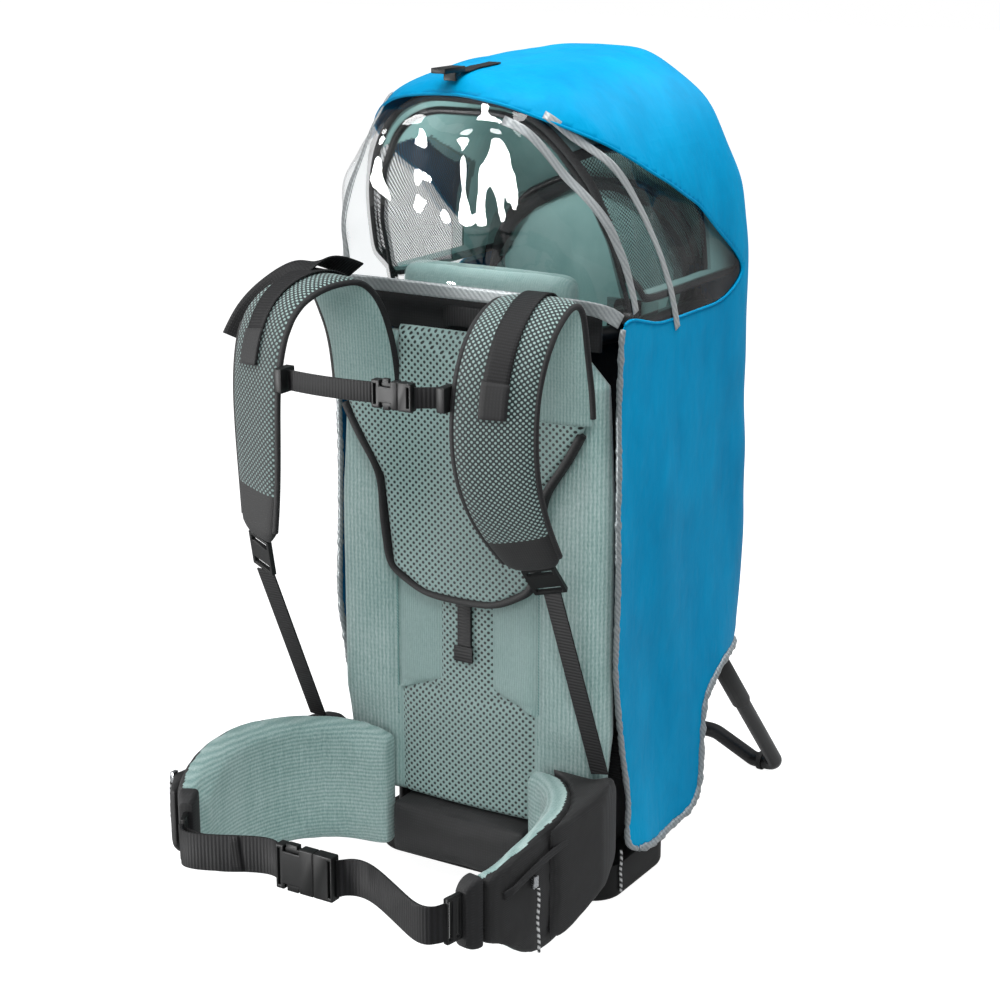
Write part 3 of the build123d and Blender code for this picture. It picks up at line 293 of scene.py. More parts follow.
def netting():
    """Black polyester insect netting: fine threads round open cells of 2.6 mm, as coarse as they need to show."""
    m = begin("black_netting", "#15191A", 0.7)
    place = add(m, "TexCoord", {}, "UV")
    lattice = add(m, "Mapping", {"Vector": place, "Rotation": DIAGONAL, "Scale": (1 / 0.0026, 1 / 0.0026, 1)})
    distance = add(m, "TexVoronoi", {"Vector": lattice, "Scale": 1.0, "Randomness": 0.0}, "Distance",
                   voronoi_dimensions="2D")
    grain = add(m, "TexNoise", {"Vector": place, "Scale": 800, "Detail": 2}, "Fac")
    add(m, "", {"Alpha": add(m, "Math", {0: distance, 1: 0.40}, operation="GREATER_THAN")})
    return finish(m, grain, [(0.3, "#101314"), (0.8, "#2B3233")], [])


def braid():
    """Braided pull cord: pale grey with dark specks and slanting strands."""
    m = begin("paracord", "#9B9C9C", 0.75)
    place = add(m, "TexCoord", {}, "Object")
    turned = add(m, "Mapping", {"Vector": place, "Rotation": (0, 0.6, 0)})
    strands = add(m, "TexWave", {"Vector": turned, "Scale": threads(0.0022), "Distortion": 1.5}, "Fac",
                  bands_direction="DIAGONAL")
    fleck = add(m, "TexNoise", {"Vector": place, "Scale": 800, "Detail": 2}, "Fac")
    return finish(m, total(m, 0.0, (strands, 0.6), (fleck, 0.5)),
                  [(0.3, "#2A2B2C"), (0.48, "#8F9091"), (0.75, "#D8D9D9")], [(strands, 0.6, 0.0006)])


def seam_thread():
    """Teal sewing thread of the panel's seams, twisted, a shade darker than the cloth."""
    m = begin("teal_thread", "#4F7F7C", 0.6, Sheen_Weight=0.2)
    twist = add(m, "TexWave", {"Vector": add(m, "TexCoord", {}, "Object"), "Scale": threads(0.0008),
                               "Distortion": 0.5}, "Fac", bands_direction="DIAGONAL")
    return finish(m, twist, [(0.2, "#4F7F7C"), (0.8, "#8DB8B4")], [(twist, 0.4, 0.0002)])


def tub_cloth():
    """Woven tub, black outside and teal inside; the distance from its rounded plan tells the two apart."""
    half, middle, depth, corner, floor = 0.117, 0.0735, 0.1221, 0.055, 0.322
    m = begin("tub_cloth", "#0E0F11", 0.75, Specular_IOR_Level=0.3)
    place = add(m, "TexCoord", {}, "Object")
    reach = 0.0
    for axis, centre, straight in ((0, 0.0, half - corner), (1, middle, depth - corner)):
        along = total(m, -centre, (add(m, "SeparateXYZ", {0: place}, axis), 1.0))
        away = total(m, -straight, (add(m, "Math", {0: along}, operation="ABSOLUTE"), 1.0))
        over = add(m, "Math", {0: away, 1: 0.0}, operation="MAXIMUM")
        reach = add(m, "Math", {0: over, 1: over, 2: reach}, operation="MULTIPLY_ADD")
    reach = add(m, "Math", {0: reach}, operation="SQRT")
    side = add(m, "Math", {0: reach, 1: corner - 0.002}, operation="GREATER_THAN")
    under = add(m, "Math", {0: add(m, "SeparateXYZ", {0: place}, 2), 1: floor}, operation="LESS_THAN")
    outside = add(m, "Math", {0: side, 1: under}, operation="MAXIMUM")
    soft = add(m, "TexNoise", {"Vector": place, "Scale": 22, "Detail": 4}, "Fac")
    teal, black = [add(m, "Mix", {0: soft, 6: srgb(a), 7: srgb(b)}, 2, data_type="RGBA")
                   for a, b in (("#8CB0AD", "#6C9593"), ("#0A0A0C", "#1C1D20"))]
    warp, weft = [add(m, "TexWave", {"Vector": place, "Scale": threads(0.0011)}, "Fac", bands_direction=axis)
                  for axis in "XZ"]
    weave = add(m, "Math", {0: warp, 1: weft}, operation="MULTIPLY")
    return finish(m, add(m, "Mix", {0: outside, 6: teal, 7: black}, 2, data_type="RGBA"), None,
                  [(soft, 0.3, 0.003), (weave, 0.4, 0.0004)])


TEAL_KNIT = knit("teal_knit", "#7A9E9A", "#9DBDB9", "#C4D9D6")
TEAL_SIDE = knit("teal_side_knit", "#7A9E9A", "#9DBDB9", "#C4D9D6", "YZ")
TEAL_SMOOTH = knit("teal_smooth_knit", "#88AAA6", "#9BBAB6", "#AECAC6", pitch=0.0013, tilt=0.0)
TEAL_MESH = spacer_mesh()
STRAP_MESH = strap_mesh()
STRAP_LINING = knit("strap_lining", "#7B9C99", "#96B5B1", "#B2CAC7", pitch=0.0016)
BLACK_CLOTH = black_cloth("black_cloth")
BLACK_KNIT = black_cloth("black_binding", "#0A0A0C", "#1F2023", 0.0015, 0.8)
BLACK_WEB = webbing()
WEB_RUN_X = web_node("webbing_across", "X")
WEB_RUN_Z = web_node("webbing_upright", "Z")
BLUE_COVER = ripstop("blue_ripstop", "#008ABE", "#0099CE", "#02A8DE", 0.5, 0.04)
# the inside of the cover is the same nylon painted much darker: painted shade of the inner face
BLUE_INSIDE = ripstop("blue_inner_face_shade", "#03486F", "#055C8A", "#0870A2", 0.6)
CANOPY_TEAL = ripstop("canopy_teal", "#6E9896", "#8CB3B0", "#A9C9C6", 0.5)
TUB_TEAL = ripstop("tub_teal", "#6C9593", "#88AEAB", "#A3C3C0", 0.6)
TUB = tub_cloth()
TAPE = tape("reflective_tape", "#8E9496", "#B9BEBF")
HEM = tape("gathered_hem", "#787F82", "#A4AAAC")
PLASTIC = plastic("black_plastic", "#0A0B0B", "#17191A", 0.5)
GREY_PLASTIC = plastic("grey_plastic", "#7D8082", "#A0A3A5", 0.35)
TUBE = coated_tube()
STEEL = turned_steel()
RUBBER = rubber()
FILM = clear_film()
NET = netting()
CORD = braid()
TEAL_THREAD = seam_thread()


# ---- mesh helpers ----
def show(name, mesh, materials):
    """Smooth object at the origin from a bmesh."""
    made = bpy.data.meshes.new(name)
    mesh.to_mesh(made)
    mesh.free()
    for material in materials if isinstance(materials, (list, tuple)) else [materials]:
        made.materials.append(material)
    made.polygons.foreach_set("use_smooth", np.ones(len(made.polygons), bool))
    made.update()
    piece = bpy.data.objects.new(name, made)
    bpy.context.scene.collection.objects.link(piece)
    return piece


def skin(name, rows, materials, uvs=None, which=None, closed=False):
    """Closed skin: a grid laid over rows of points, each row a ring, sewn up along its edge and filled at its ends.

    uvs has a pair for each point, and which gives the material of the face at a row and a place in the ring."""
    rows = np.array(rows, float)
    length, ring = rows.shape[:2]
    steps = length if closed else length - 1
    mesh = bmesh.new()
    layer = mesh.loops.layers.uv.new("uv") if uvs is not None else None
    bmesh.ops.create_grid(mesh, x_segments=ring, y_segments=steps, size=1)
    verts = list(mesh.verts)
    for number, face in enumerate(mesh.faces):
        face.material_index = which(*divmod(number, ring)) if which else 0
        last_kind = face.material_index
    first_kind = which(0, 0) if which else 0
    seams, spot = {}, {}
    for number, vert in enumerate(verts):
        i, k = divmod(number, ring + 1)
        spot[vert] = i % length, k % ring
        vert.co = rows[spot[vert]]
        if i == length or k == ring:
            seams[vert] = verts[(i % length) * (ring + 1) + k % ring]
    bmesh.ops.weld_verts(mesh, targetmap=seams)
    ends = bmesh.ops.holes_fill(mesh, edges=[e for e in mesh.edges if e.is_boundary], sides=0)["faces"]
    for face in ends:
        face.material_index = first_kind if spot[face.verts[0]][0] == 0 else last_kind
    if layer:
        for face in mesh.faces:
            for loop in face.loops:
                loop[layer].uv = uvs[spot[loop.vert]]
    bmesh.ops.recalc_face_normals(mesh, faces=mesh.faces)
    return show(name, mesh, materials)


def open_sheet(name, points, faces, materials, uvs=None, which=None):
    """Smooth open sheet through points found on another surface.

    uvs has a pair for each point, and which gives the material of each face."""
    mesh = bpy.data.meshes.new(name)
    mesh.from_pydata([tuple(p) for p in points], [], faces)
    for material in materials if isinstance(materials, (list, tuple)) else [materials]:
        mesh.materials.append(material)
    if which is not None:
        mesh.polygons.foreach_set("material_index", np.array(which, np.int32))
    mesh.polygons.foreach_set("use_smooth", np.ones(len(mesh.polygons), bool))
    if uvs is not None:
        corners = np.zeros(len(mesh.loops), np.int32)
        mesh.loops.foreach_get("vertex_index", corners)
        layer = mesh.uv_layers.new(name="uv")
        layer.data.foreach_set("uv", np.array(uvs, np.float32)[corners].ravel())
    mesh.update()
    piece = bpy.data.objects.new(name, mesh)
    bpy.context.scene.collection.objects.link(piece)
    return piece


def lengths(line):
    """Distance along a line at each of its points."""
    return np.concatenate([[0], np.cumsum(np.linalg.norm(np.diff(line, axis=0), axis=1))])


def through(points, step=0.004):
    """Smooth line through the points, sampled about every step."""
    p = np.array(points, float)
    knots = lengths(p)
    count, gaps = len(p), np.diff(knots)
    if count < 3:
        t = np.linspace(0, 1, max(2, int(knots[-1] / step) + 1))[:, None]
        return p[0] * (1 - t) + p[-1] * t
    left, right = np.zeros((count, count)), np.zeros((count, p.shape[1]))
    left[0, 0] = left[-1, -1] = 1
    for i in range(1, count - 1):
        left[i, i - 1:i + 2] = gaps[i - 1], 2 * (gaps[i - 1] + gaps[i]), gaps[i]
        right[i] = 6 * ((p[i + 1] - p[i]) / gaps[i] - (p[i] - p[i - 1]) / gaps[i - 1])
    curve = np.linalg.solve(left, right)
    t = np.linspace(0, knots[-1], max(3, int(knots[-1] / step) + 1))
    i = np.clip(np.searchsorted(knots, t, side="right") - 1, 0, count - 2)
    a, b, h = (knots[i + 1] - t)[:, None], (t - knots[i])[:, None], gaps[i][:, None]
    line = curve[i] * a ** 3 / (6 * h) + curve[i + 1] * b ** 3 / (6 * h)
    return line + (p[i] / h - curve[i] * h / 6) * a + (p[i + 1] / h - curve[i + 1] * h / 6) * b


def unit(rows):
    """Rows at length 1."""
    rows = np.array(rows, float)
    return rows / np.maximum(np.linalg.norm(rows, axis=-1, keepdims=True), 1e-12)


def line_frames(line, across):
    """Side and normal directions along a line whose side leans towards across."""
    tangent = unit(np.gradient(np.array(line, float), axis=0))
    side = np.array(across, float) * np.ones_like(tangent)
    side = unit(side - tangent * (side * tangent).sum(1)[:, None])
    return side, np.cross(tangent, side)


def sweep(name, line, across, profile, materials, closed=False, which=None):
    """Profile, or a function from 0 to 1 that gives one, swept along a line; the profile is a closed loop."""
    line = np.array(line, float)
    side, normal = line_frames(line, across)
    rows, uvs = [], []
    for i, along in enumerate(lengths(line)):
        loop = np.array(profile(i / (len(line) - 1)) if callable(profile) else profile)
        rows.append(line[i] + loop[:, :1] * side[i] + loop[:, 1:] * normal[i])
        round_it = loop[:, 0] if callable(profile) else lengths(loop)
        uvs.append([(u, along) for u in round_it])
    steps = len(line) if closed else len(line) - 1
    kinds = (lambda i, k: which(i / steps, k / len(rows[0]))) if which else None
    return skin(name, rows, materials, np.array(uvs), kinds, closed)


def pillow(width, height, power=2.6, count=28):
    """Crowned section of a padded strap."""
    loop = []
    for k in range(count):
        a = 2 * math.pi * k / count
        c, s = math.cos(a), math.sin(a)
        loop.append((math.copysign(abs(c) ** (2 / power), c) * width / 2,
                     math.copysign(abs(s) ** 0.9, s) * height / 2))
    return loop


def flat(width, height, count=5):
    """Section of a flat strap with rounded edges."""
    w, h = width / 2, height / 2
    top = [(w - h * 0.6 - (2 * w - 1.2 * h) * k / count, h) for k in range(count + 1)]
    return top + [(-w, 0)] + [(-x, -h) for x, _ in top] + [(w, 0)]


def circle(radius, count):
    """Section of a round cord."""
    turns = [2 * math.pi * k / count for k in range(count)]
    return [(radius * math.cos(a), radius * math.sin(a)) for a in turns]


def strap(name, points, across, width, thick):
    """Webbing that runs smoothly through the points."""
    return sweep(name, through(points), across, flat(width, thick), BLACK_WEB)


def piping(name, line, radius, material, closed=False, count=8):
    """Round tube along a line that is already sampled."""
    line = np.array(line, float)
    tangent = unit(np.gradient(line, axis=0))
    side = unit(np.cross(tangent, (0.31, 0.52, 0.79)))
    return sweep(name, line, side, circle(radius, count), material, closed)


def modify(piece, kind, **values):
    """Adds a modifier with its settings."""
    modifier = piece.modifiers.new(kind.lower(), kind)
    for key, value in values.items():
        setattr(modifier, key, value)
    return modifier


def bake(piece):
    """Applies all modifiers of a piece."""
    bpy.context.view_layer.update()
    graph = bpy.context.evaluated_depsgraph_get()
    mesh = bpy.data.meshes.new_from_object(piece.evaluated_get(graph), preserve_all_data_layers=True, depsgraph=graph)
    piece.modifiers.clear()
    old, piece.data = piece.data, mesh
    bpy.data.meshes.remove(old)
    mesh.polygons.foreach_set("use_smooth", np.ones(len(mesh.polygons), bool))
    return piece


def tree_of(*objects):
    """Search tree over several meshes."""
    points, faces = [], []
    for o in objects:
        base = len(points)
        points += [v.co.copy() for v in o.data.vertices]
        faces += [[base + i for i in p.vertices] for p in o.data.polygons]
    return BVHTree.FromPolygons(points, faces)


def lay_on(line, tree, lift):
    """Moves each point of a line to the nearest surface, then out by lift."""
    found = []
    for p in line:
        place, normal, _, _ = tree.find_nearest(Vector(p))
        found.append(np.array(place + normal * lift))
    return found


def placed(piece, body, slot=None, *nodes):
    """Last step for a piece: its body, and the nodes that it stands for, which are hidden. slot is not used."""
    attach(piece, body)
    if nodes:
        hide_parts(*nodes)
    return piece


def placed_between(piece, slot, *nodes):
    """Last step for a piece of the sunshade: its placement is baked into its mesh and the nodes that it stands for are
    hidden; it is attached to no body. slot is not used.
    """
    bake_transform(piece)
    if nodes:
        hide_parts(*nodes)
    return piece


def copy_of(name, node, material):
    """The node's mesh as a new welded object."""
    piece = bpy.data.objects.new(name, NODES[node].data.copy())
    bpy.context.scene.collection.objects.link(piece)
    piece.data.materials.clear()
    piece.data.materials.append(material)
    mesh = bmesh.new()
    mesh.from_mesh(piece.data)
    bmesh.ops.remove_doubles(mesh, verts=mesh.verts, dist=0.00002)
    mesh.to_mesh(piece.data)
    mesh.free()
    return piece


def swell(piece, pressure=4.0, cap=0.006, frames=20):
    """Inflates a closed mesh with a short cloth simulation, each point moving no further than cap."""
    start = np.array([v.co for v in piece.data.vertices], float)
    cloth = modify(piece, "CLOTH")
    cloth.settings.quality = 4
    cloth.settings.mass = 0.15
    cloth.settings.tension_stiffness = 25
    cloth.settings.compression_stiffness = 25
    cloth.settings.shear_stiffness = 12
    cloth.settings.bending_stiffness = 0.6
    cloth.settings.use_pressure = True
    cloth.settings.uniform_pressure_force = pressure
    cloth.settings.effector_weights.gravity = 0.0
    cloth.point_cache.frame_start = 1
    cloth.point_cache.frame_end = frames
    for step in range(1, frames + 1):
        bpy.context.scene.frame_set(step)
    bake(piece)
    bpy.context.scene.frame_set(1)
    moved = np.array([v.co for v in piece.data.vertices], float) - start
    reach = np.linalg.norm(moved, axis=1)
    moved *= np.minimum(1.0, cap / np.maximum(reach, 1e-9))[:, None]
    piece.data.vertices.foreach_set("co", (start + moved).astype(np.float32).ravel())
    piece.data.update()
    return piece


def soften(piece, voxel=0.005, inset=0.0, smooth=6):
    """Even rounded mesh of a solid, drawn in a little."""
    modify(piece, "REMESH", mode="VOXEL", voxel_size=voxel, use_smooth_shade=True)
    modify(piece, "SMOOTH", factor=0.5, iterations=smooth)
    if inset:
        modify(piece, "DISPLACE", strength=-inset, mid_level=0.0)
    return bake(piece)


def cushion(name, node, material, body, slot, voxel=0.005, inset=0.002, cap=0.005, pressure=4.0, smooth=6):
    """Padded piece grown from its plain solid."""
    piece = copy_of(name, node, material)
    soften(piece, voxel, inset, smooth)
    swell(piece, pressure, cap)
    modify(piece, "SUBSURF", levels=1, render_levels=1)
    bake(piece)
    placed(piece, body, slot, node)
    return piece


def pushed(piece, amount):
    """Moves each vertex along its normal by amount(place)."""
    rows = [(v.co.copy(), v.normal.copy()) for v in piece.data.vertices]
    moved = [c for place, normal in rows for c in place + normal * amount(place)]
    piece.data.vertices.foreach_set("co", moved)
    piece.data.update()


def wrinkle(piece, size, depth, stretch=(1, 1, 1), seed=0.0, detail=3):
    """Uneven folds along the normals."""
    shift = Vector((seed, seed * 0.7, -seed))

    def rise(place):
        return noise.fractal(Vector(c * s / size for c, s in zip(place, stretch)) + shift, 0.9, 2.0, detail) * depth

    pushed(piece, rise)
    return piece


# ---- rain cover ----
AXIS_Y = 0.07                   # upright axis of the cover, which its grid is laid round
DOME_Z = 0.650                  # above this the grid closes towards the crown
COVER_LOW_Z = 0.03              # lowest row of the grid
REACH = 0.6                     # from outside the whole carrier to its axis
TAPE_WIDTH, TAPE_THICK = 0.0095, 0.0012
WINDOW_TAPES = [(1, [(-0.130, 0.822), (-0.093, 0.752), (-0.050, 0.631)]),
                (1, [(-0.098, 0.819), (-0.027, 0.734), (0.040, 0.600)])]


def skin_grid(shell, window, low, dome_z, around=240, upright=125, dome=70):
    """Rows of points on the outside of two nodes, each with the node that it lies on, or None."""
    rows, skins = [], (("shell", shell), ("window", window))
    for row in range(upright + dome):
        found = []
        for k in range(around):
            turn = 2 * math.pi * k / around
            if row < upright:
                centre = Vector((0, AXIS_Y, low + (dome_z - low) * row / upright))
                ray = Vector((math.sin(turn), -math.cos(turn), 0))
            else:
                lift = math.pi / 2 * (row - upright) / (dome - 0.5)
                centre = Vector((0, AXIS_Y, dome_z))
                ray = Vector((math.sin(turn) * math.cos(lift), -math.cos(turn) * math.cos(lift), math.sin(lift)))
            start = centre + ray * REACH
            met = [(kind, tree.ray_cast(start, -ray, REACH)[0]) for kind, tree in skins]
            met = [((start - place).length, kind) for kind, place in met if place]
            if met:
                way, kind = min(met, key=lambda hit: hit[0])
                found.append((start - ray * way, kind))
            else:
                found.append(None)
        rows.append(found)
    return rows


def relaxed(rows, rounds):
    """Smooths a grid that has holes; points at an edge stay on it."""
    place = np.array([[p[0] if p else (0, 0, 0) for p in row] for row in rows], float)
    there = np.array([[p is not None for p in row] for row in rows])
    inner = there & np.roll(there, 1, 1) & np.roll(there, -1, 1)
    inner[1:-1] &= there[2:] & there[:-2]
    inner[[0, -1]] = False
    for _ in range(rounds):
        near = np.roll(place, 1, 1) + np.roll(place, -1, 1)
        near[1:-1] += place[2:] + place[:-2]
        place = np.where(inner[..., None], place * 0.5 + near / 8, place)
    return {(i, k): place[i, k] for i, k in zip(*np.nonzero(there))}


def cover_surface():
    """The cover's panels and its window, as two meshes cut from one smooth skin."""
    rows = skin_grid(tree_of(NODES["cover_shell"]), tree_of(NODES["cover_window"]), COVER_LOW_Z, DOME_Z)
    place = relaxed(rows, 16)
    count = len(rows[0])
    kind = {(i, k): p[1] for i, row in enumerate(rows) for k, p in enumerate(row) if p}
    made = {}
    for part in ("shell", "window"):
        index, points, faces = {}, [], []
        for i in range(len(rows) - 1):
            for k in range(count):
                corners = [(i, k), (i, (k + 1) % count), (i + 1, (k + 1) % count), (i + 1, k)]
                if any(q not in place for q in corners):
                    continue
                votes = sum(kind[q] == "window" for q in corners)
                if (votes >= 2) != (part == "window"):
                    continue
                for q in corners:
                    if q not in index:
                        index[q] = len(points)
                        points.append(place[q])
                faces.append([index[q] for q in corners])
        if part == "shell":
            top = [(len(rows) - 1, k) for k in range(count)]
            faces.append([index[q] for q in top])
        made[part] = (points, faces)
    return made


def side_line(points, side, tree, step=0.003, lift=0.0):
    """Line on the side of the cover, drawn as (y, z) and projected across."""
    line = []
    for y, z in through(points, step):
        hit = tree.ray_cast(Vector((side * 0.5, y, z)), Vector((-side, 0, 0)), 0.5)
        if hit[0]:
            line.append(np.array(hit[0] + hit[1] * lift))
    return line


def tape_on(name, line, width, tree, material, thick=0.0012, lift=0.0008):
    """Flat tape that follows a line on a surface."""
    line = np.array(line)
    keep = [0]
    for i in range(1, len(line)):
        if np.linalg.norm(line[i] - line[keep[-1]]) > 0.0025:
            keep.append(i)
    line = line[keep]
    for _ in range(3):
        line[1:-1] = line[1:-1] * 0.5 + (line[:-2] + line[2:]) * 0.25
    normal = unit([np.array(tree.find_nearest(Vector(p))[1]) for p in line])
    outward = np.sign((normal * (line - np.array((0, AXIS_Y, 0.55)))).sum(1))[:, None]
    normal = normal * outward
    for _ in range(4):
        normal[1:-1] = unit(normal[1:-1] + normal[:-2] + normal[2:])
    tangent = unit(np.gradient(line, axis=0))
    side = np.cross(normal, tangent)
    return sweep(name, line + normal * lift, side, flat(width, thick), material)


def fold(p):
    """Outward move of the loose fabric at a point of the cover."""
    x, y, z = p
    drape = max(0.0, min(1.0, (0.60 - z) / 0.30))
    side = math.copysign(1.0, x)
    slant = y * 1.0 + z * 0.22 * side
    waves = math.sin(slant * 62 + 1.3 * side) * 0.5 + math.sin(slant * 31 + z * 5 + 2 * side) * 0.7
    broad = noise.noise(Vector((x * 5, y * 7, z * 3.2))) * 1.6
    fine = noise.noise(Vector((x * 20 + 9, y * 26, z * 9))) * 0.6
    tight = noise.noise(Vector((x * 9, y * 10, z * 16 + 4)))
    return drape * (waves * 0.0026 + broad * 0.0036) + fine * 0.0020 + tight * 0.0014


def dent(p):
    """Inward move of the clear film, which lies in uneven facets and is held flat at its lower edge."""
    x, y, z = p
    rim = min(1.0, max(0.0, (z - 0.645) / 0.05))
    broad = noise.noise(Vector((x * 13, y * 11, z * 9 + 3)))
    small = noise.noise(Vector((x * 30, y * 28, z * 24)))
    return -rim * (0.005 + 0.010 * broad + 0.0045 * small)


def shape_cover():
    """The two sheets with even edges, and the stretches of edge by kind."""
    made = cover_surface()
    shell = open_sheet("cover_panels", *made["shell"], [BLUE_COVER, BLUE_INSIDE])
    film = open_sheet("cover_film", *made["window"], FILM)
    on_film = {key(film.data.vertices[i].co) for rim in open_rims(film) for i in rim}
    before = np.array([v.co for v in shell.data.vertices], float)
    shared, edges = {}, []
    for rim, _ in even_rims(shell, shared):
        kinds = ["seam" if key(before[i]) in on_film else "front" if before[i][1] < -0.03 else "hem" for i in rim]
        edges += [(kind, [rim[i] for i in part], shell) for kind, part in runs(rim, kinds)]
    film_before = [key(v.co) for v in film.data.vertices]
    both = set(shared)
    for rim, _ in even_rims(film, shared):
        kinds = ["seam" if film_before[i] in both else "film" for i in rim]
        edges += [(kind, [rim[i] for i in part], film) for kind, part in runs(rim, kinds) if kind == "film"]
    return shell, film, edges


def open_rims(piece):
    """Vertex numbers round each open edge of a sheet, in order."""
    mesh = bmesh.new()
    mesh.from_mesh(piece.data)
    near = {}
    for e in mesh.edges:
        if e.is_boundary:
            a, b = e.verts[0].index, e.verts[1].index
            near.setdefault(a, []).append(b)
            near.setdefault(b, []).append(a)
    mesh.free()
    rims = []
    for first in sorted(near):
        if not near[first]:
            continue
        chain = [first]
        while near[chain[-1]]:
            following = near[chain[-1]].pop(0)
            near[following].remove(chain[-1])
            chain.append(following)
        rims.append(chain[:-1] if chain[-1] == first else chain)
    return rims


def key(place):
    """Name of a place that two sheets share."""
    return tuple(round(float(c), 5) for c in place)


def even_rims(piece, shared, rounds=26):
    """Takes the steps out of the open edges of a sheet. Places in shared, which another sheet has too, follow it."""
    co = np.array([v.co for v in piece.data.vertices], float)
    first = co.copy()
    lines = []
    for rim in open_rims(piece):
        place = co[rim]
        held = [i for i, p in enumerate(place) if key(p) in shared]
        fixed = np.array([shared[key(place[i])] for i in held]).reshape(-1, 3)
        for _ in range(rounds):
            place = place * 0.5 + (np.roll(place, 1, 0) + np.roll(place, -1, 0)) * 0.25
            if held:
                place[held] = fixed
        co[rim] = place
        lines.append((rim, place))
    piece.data.vertices.foreach_set("co", co.ravel())
    for rim, _ in lines:
        for i in rim:
            shared.setdefault(key(first[i]), co[i])
    mesh = bmesh.new()
    mesh.from_mesh(piece.data)
    edge = {v for v in mesh.verts if v.is_boundary}
    ring = {e.other_vert(v) for v in edge for e in v.link_edges} - edge
    ring |= {e.other_vert(v) for v in ring for e in v.link_edges} - edge
    for _ in range(6):
        bmesh.ops.smooth_vert(mesh, verts=sorted(ring, key=lambda v: v.index), factor=0.5,
                              use_axis_x=True, use_axis_y=True, use_axis_z=True)
    mesh.to_mesh(piece.data)
    mesh.free()
    piece.data.update()
    return lines


def runs(rim, kinds):
    """Stretches of a closed rim that are of one kind, as (kind, places in the rim)."""
    count = len(rim)
    start = next((i for i in range(count) if kinds[i] != kinds[i - 1]), 0)
    found = []
    for i in range(count):
        at = (start + i) % count
        if found and found[-1][0] == kinds[at]:
            found[-1][1].append(at)
        else:
            found.append((kinds[at], [at]))
    return found


def front_line(points, tree):
    """Line on the front of the cover, drawn as (x, z) and projected back."""
    line = []
    for x, z in through(points, 0.003):
        hit = tree.ray_cast(Vector((x, -0.5, z)), Vector((0, 1, 0)), 0.6)
        if hit[0]:
            line.append(np.array(hit[0]))
    return line


def rain_cover():
    """Cover, window, bindings and tapes; returns a search tree over the two sheets."""
    shell, film, edges = shape_cover()
    pushed(shell, fold)
    pushed(film, dent)
    trims = []
    for i, (kind, rim, piece) in enumerate(edges):
        line = [np.array(piece.data.vertices[k].co) for k in rim]
        if len(line) < 12:
            continue
        if kind == "seam":
            trims.append(piping_varied(f"cover_seam_{i}", line, lambda s: 0.0015, BLUE_COVER))
        elif kind == "hem":
            trims.append(gathered_hem(f"cover_hem_{i}", line, 0.0042))
        elif kind == "front":
            trims.append(gathered_hem(f"cover_front_edge_{i}", line, 0.0030))
        else:
            trims.append(tape_on(f"film_edge_{i}", line, 0.015, tree_of(film), TAPE, 0.0020, 0.0004))
    surface = tree_of(shell, film)
    for side, drawn in WINDOW_TAPES:
        line = side_line(drawn, side, surface, 0.004)
        trims.append(tape_on(f"window_tape_{len(trims)}", line, TAPE_WIDTH, surface, TAPE, TAPE_THICK, 0.0012))
    left = front_line([(-0.083, 0.829), (-0.093, 0.795), (-0.125, 0.724), (-0.141, 0.653)], surface)
    trims.append(tape_on("window_tape_left", left, TAPE_WIDTH, surface, TAPE, TAPE_THICK, 0.0012))
    # the inner face gets the darker blue, a painted shade
    modify(shell, "SOLIDIFY", thickness=0.0006, offset=-1, material_offset=1)
    bake(shell)
    placed(shell, "rain_cover", "cover_nylon", "cover_shell")
    placed(film, "rain_cover", "clear_film", "cover_window")
    for trim in trims:
        placed(trim, "rain_cover", "cover_nylon")
    return surface


def gathered_hem(name, line, radius):
    """Elastic hem: a soft tube whose thickness comes and goes with the gathers."""
    def gathered(s):
        uneven = noise.noise(Vector((s * 260, 3.7, radius * 900))) * 0.26 + noise.noise(Vector((s * 90, 8.1, 0))) * 0.3
        return radius * (1 + uneven)

    return piping_varied(name, line, gathered, HEM)


def piping_varied(name, line, radius_at, material, count=10):
    """Round tube along a line, with its radius at each distance along it."""
    line = np.array(line, float)
    steps = lengths(line)
    even = np.arange(0, steps[-1], 0.0018)
    line = np.array([[np.interp(s, steps, line[:, k]) for k in range(3)] for s in even])
    for _ in range(4):
        line[1:-1] = line[1:-1] * 0.5 + (line[:-2] + line[2:]) * 0.25
    tangent = unit(np.gradient(line, axis=0))
    side = unit(np.cross(tangent, (0.31, 0.52, 0.79)))
    total = even[-1]
    shape = lambda t: [(a * radius_at(t * total), b * radius_at(t * total)) for a, b in circle(1.0, count)]
    return sweep(name, line, side, shape, material)


# ---- the pieces ----
def dress(node, material, bevel):
    """Material, and softened edges, for a node that is shown as it is."""
    piece = NODES[node]
    for place in piece.material_slots:
        place.material = material
    if not piece.material_slots:
        piece.data.materials.append(material)
    piece.data.polygons.foreach_set("use_smooth", np.ones(len(piece.data.polygons), bool))
    modify(piece, "WELD", merge_threshold=0.00002)
    if bevel:
        modify(piece, "BEVEL", width=bevel, segments=2, limit_method="ANGLE", angle_limit=math.radians(30),
               profile=0.5, material=-1, affect="EDGES", harden_normals=True)
    else:
        modify(piece, "EDGE_SPLIT", split_angle=math.radians(35))
    return piece


def eased(value, low, high):
    """0 below low, 1 above high, and a soft rise between."""
    t = np.clip((value - low) / (high - low), 0, 1)
    return t * t * (3 - 2 * t)


# ---- back panel ----
PANEL_Z = [0.092, 0.130, 0.200, 0.430, 0.560, 0.592]
PANEL_HALF = [0.112, 0.150, 0.158, 0.158, 0.150, 0.118]
COLUMN_Z = [0.092, 0.212, 0.232, 0.620]          # the mesh column down the middle is wide over the hips
COLUMN_HALF = [0.080, 0.080, 0.031, 0.029]
SIDE_SEAM = 0.084
PANEL_BACK_Y = -0.067
PANEL_DEPTH = 0.0282
PANEL_LOW_Z, PANEL_TOP_Z = 0.092, 0.592


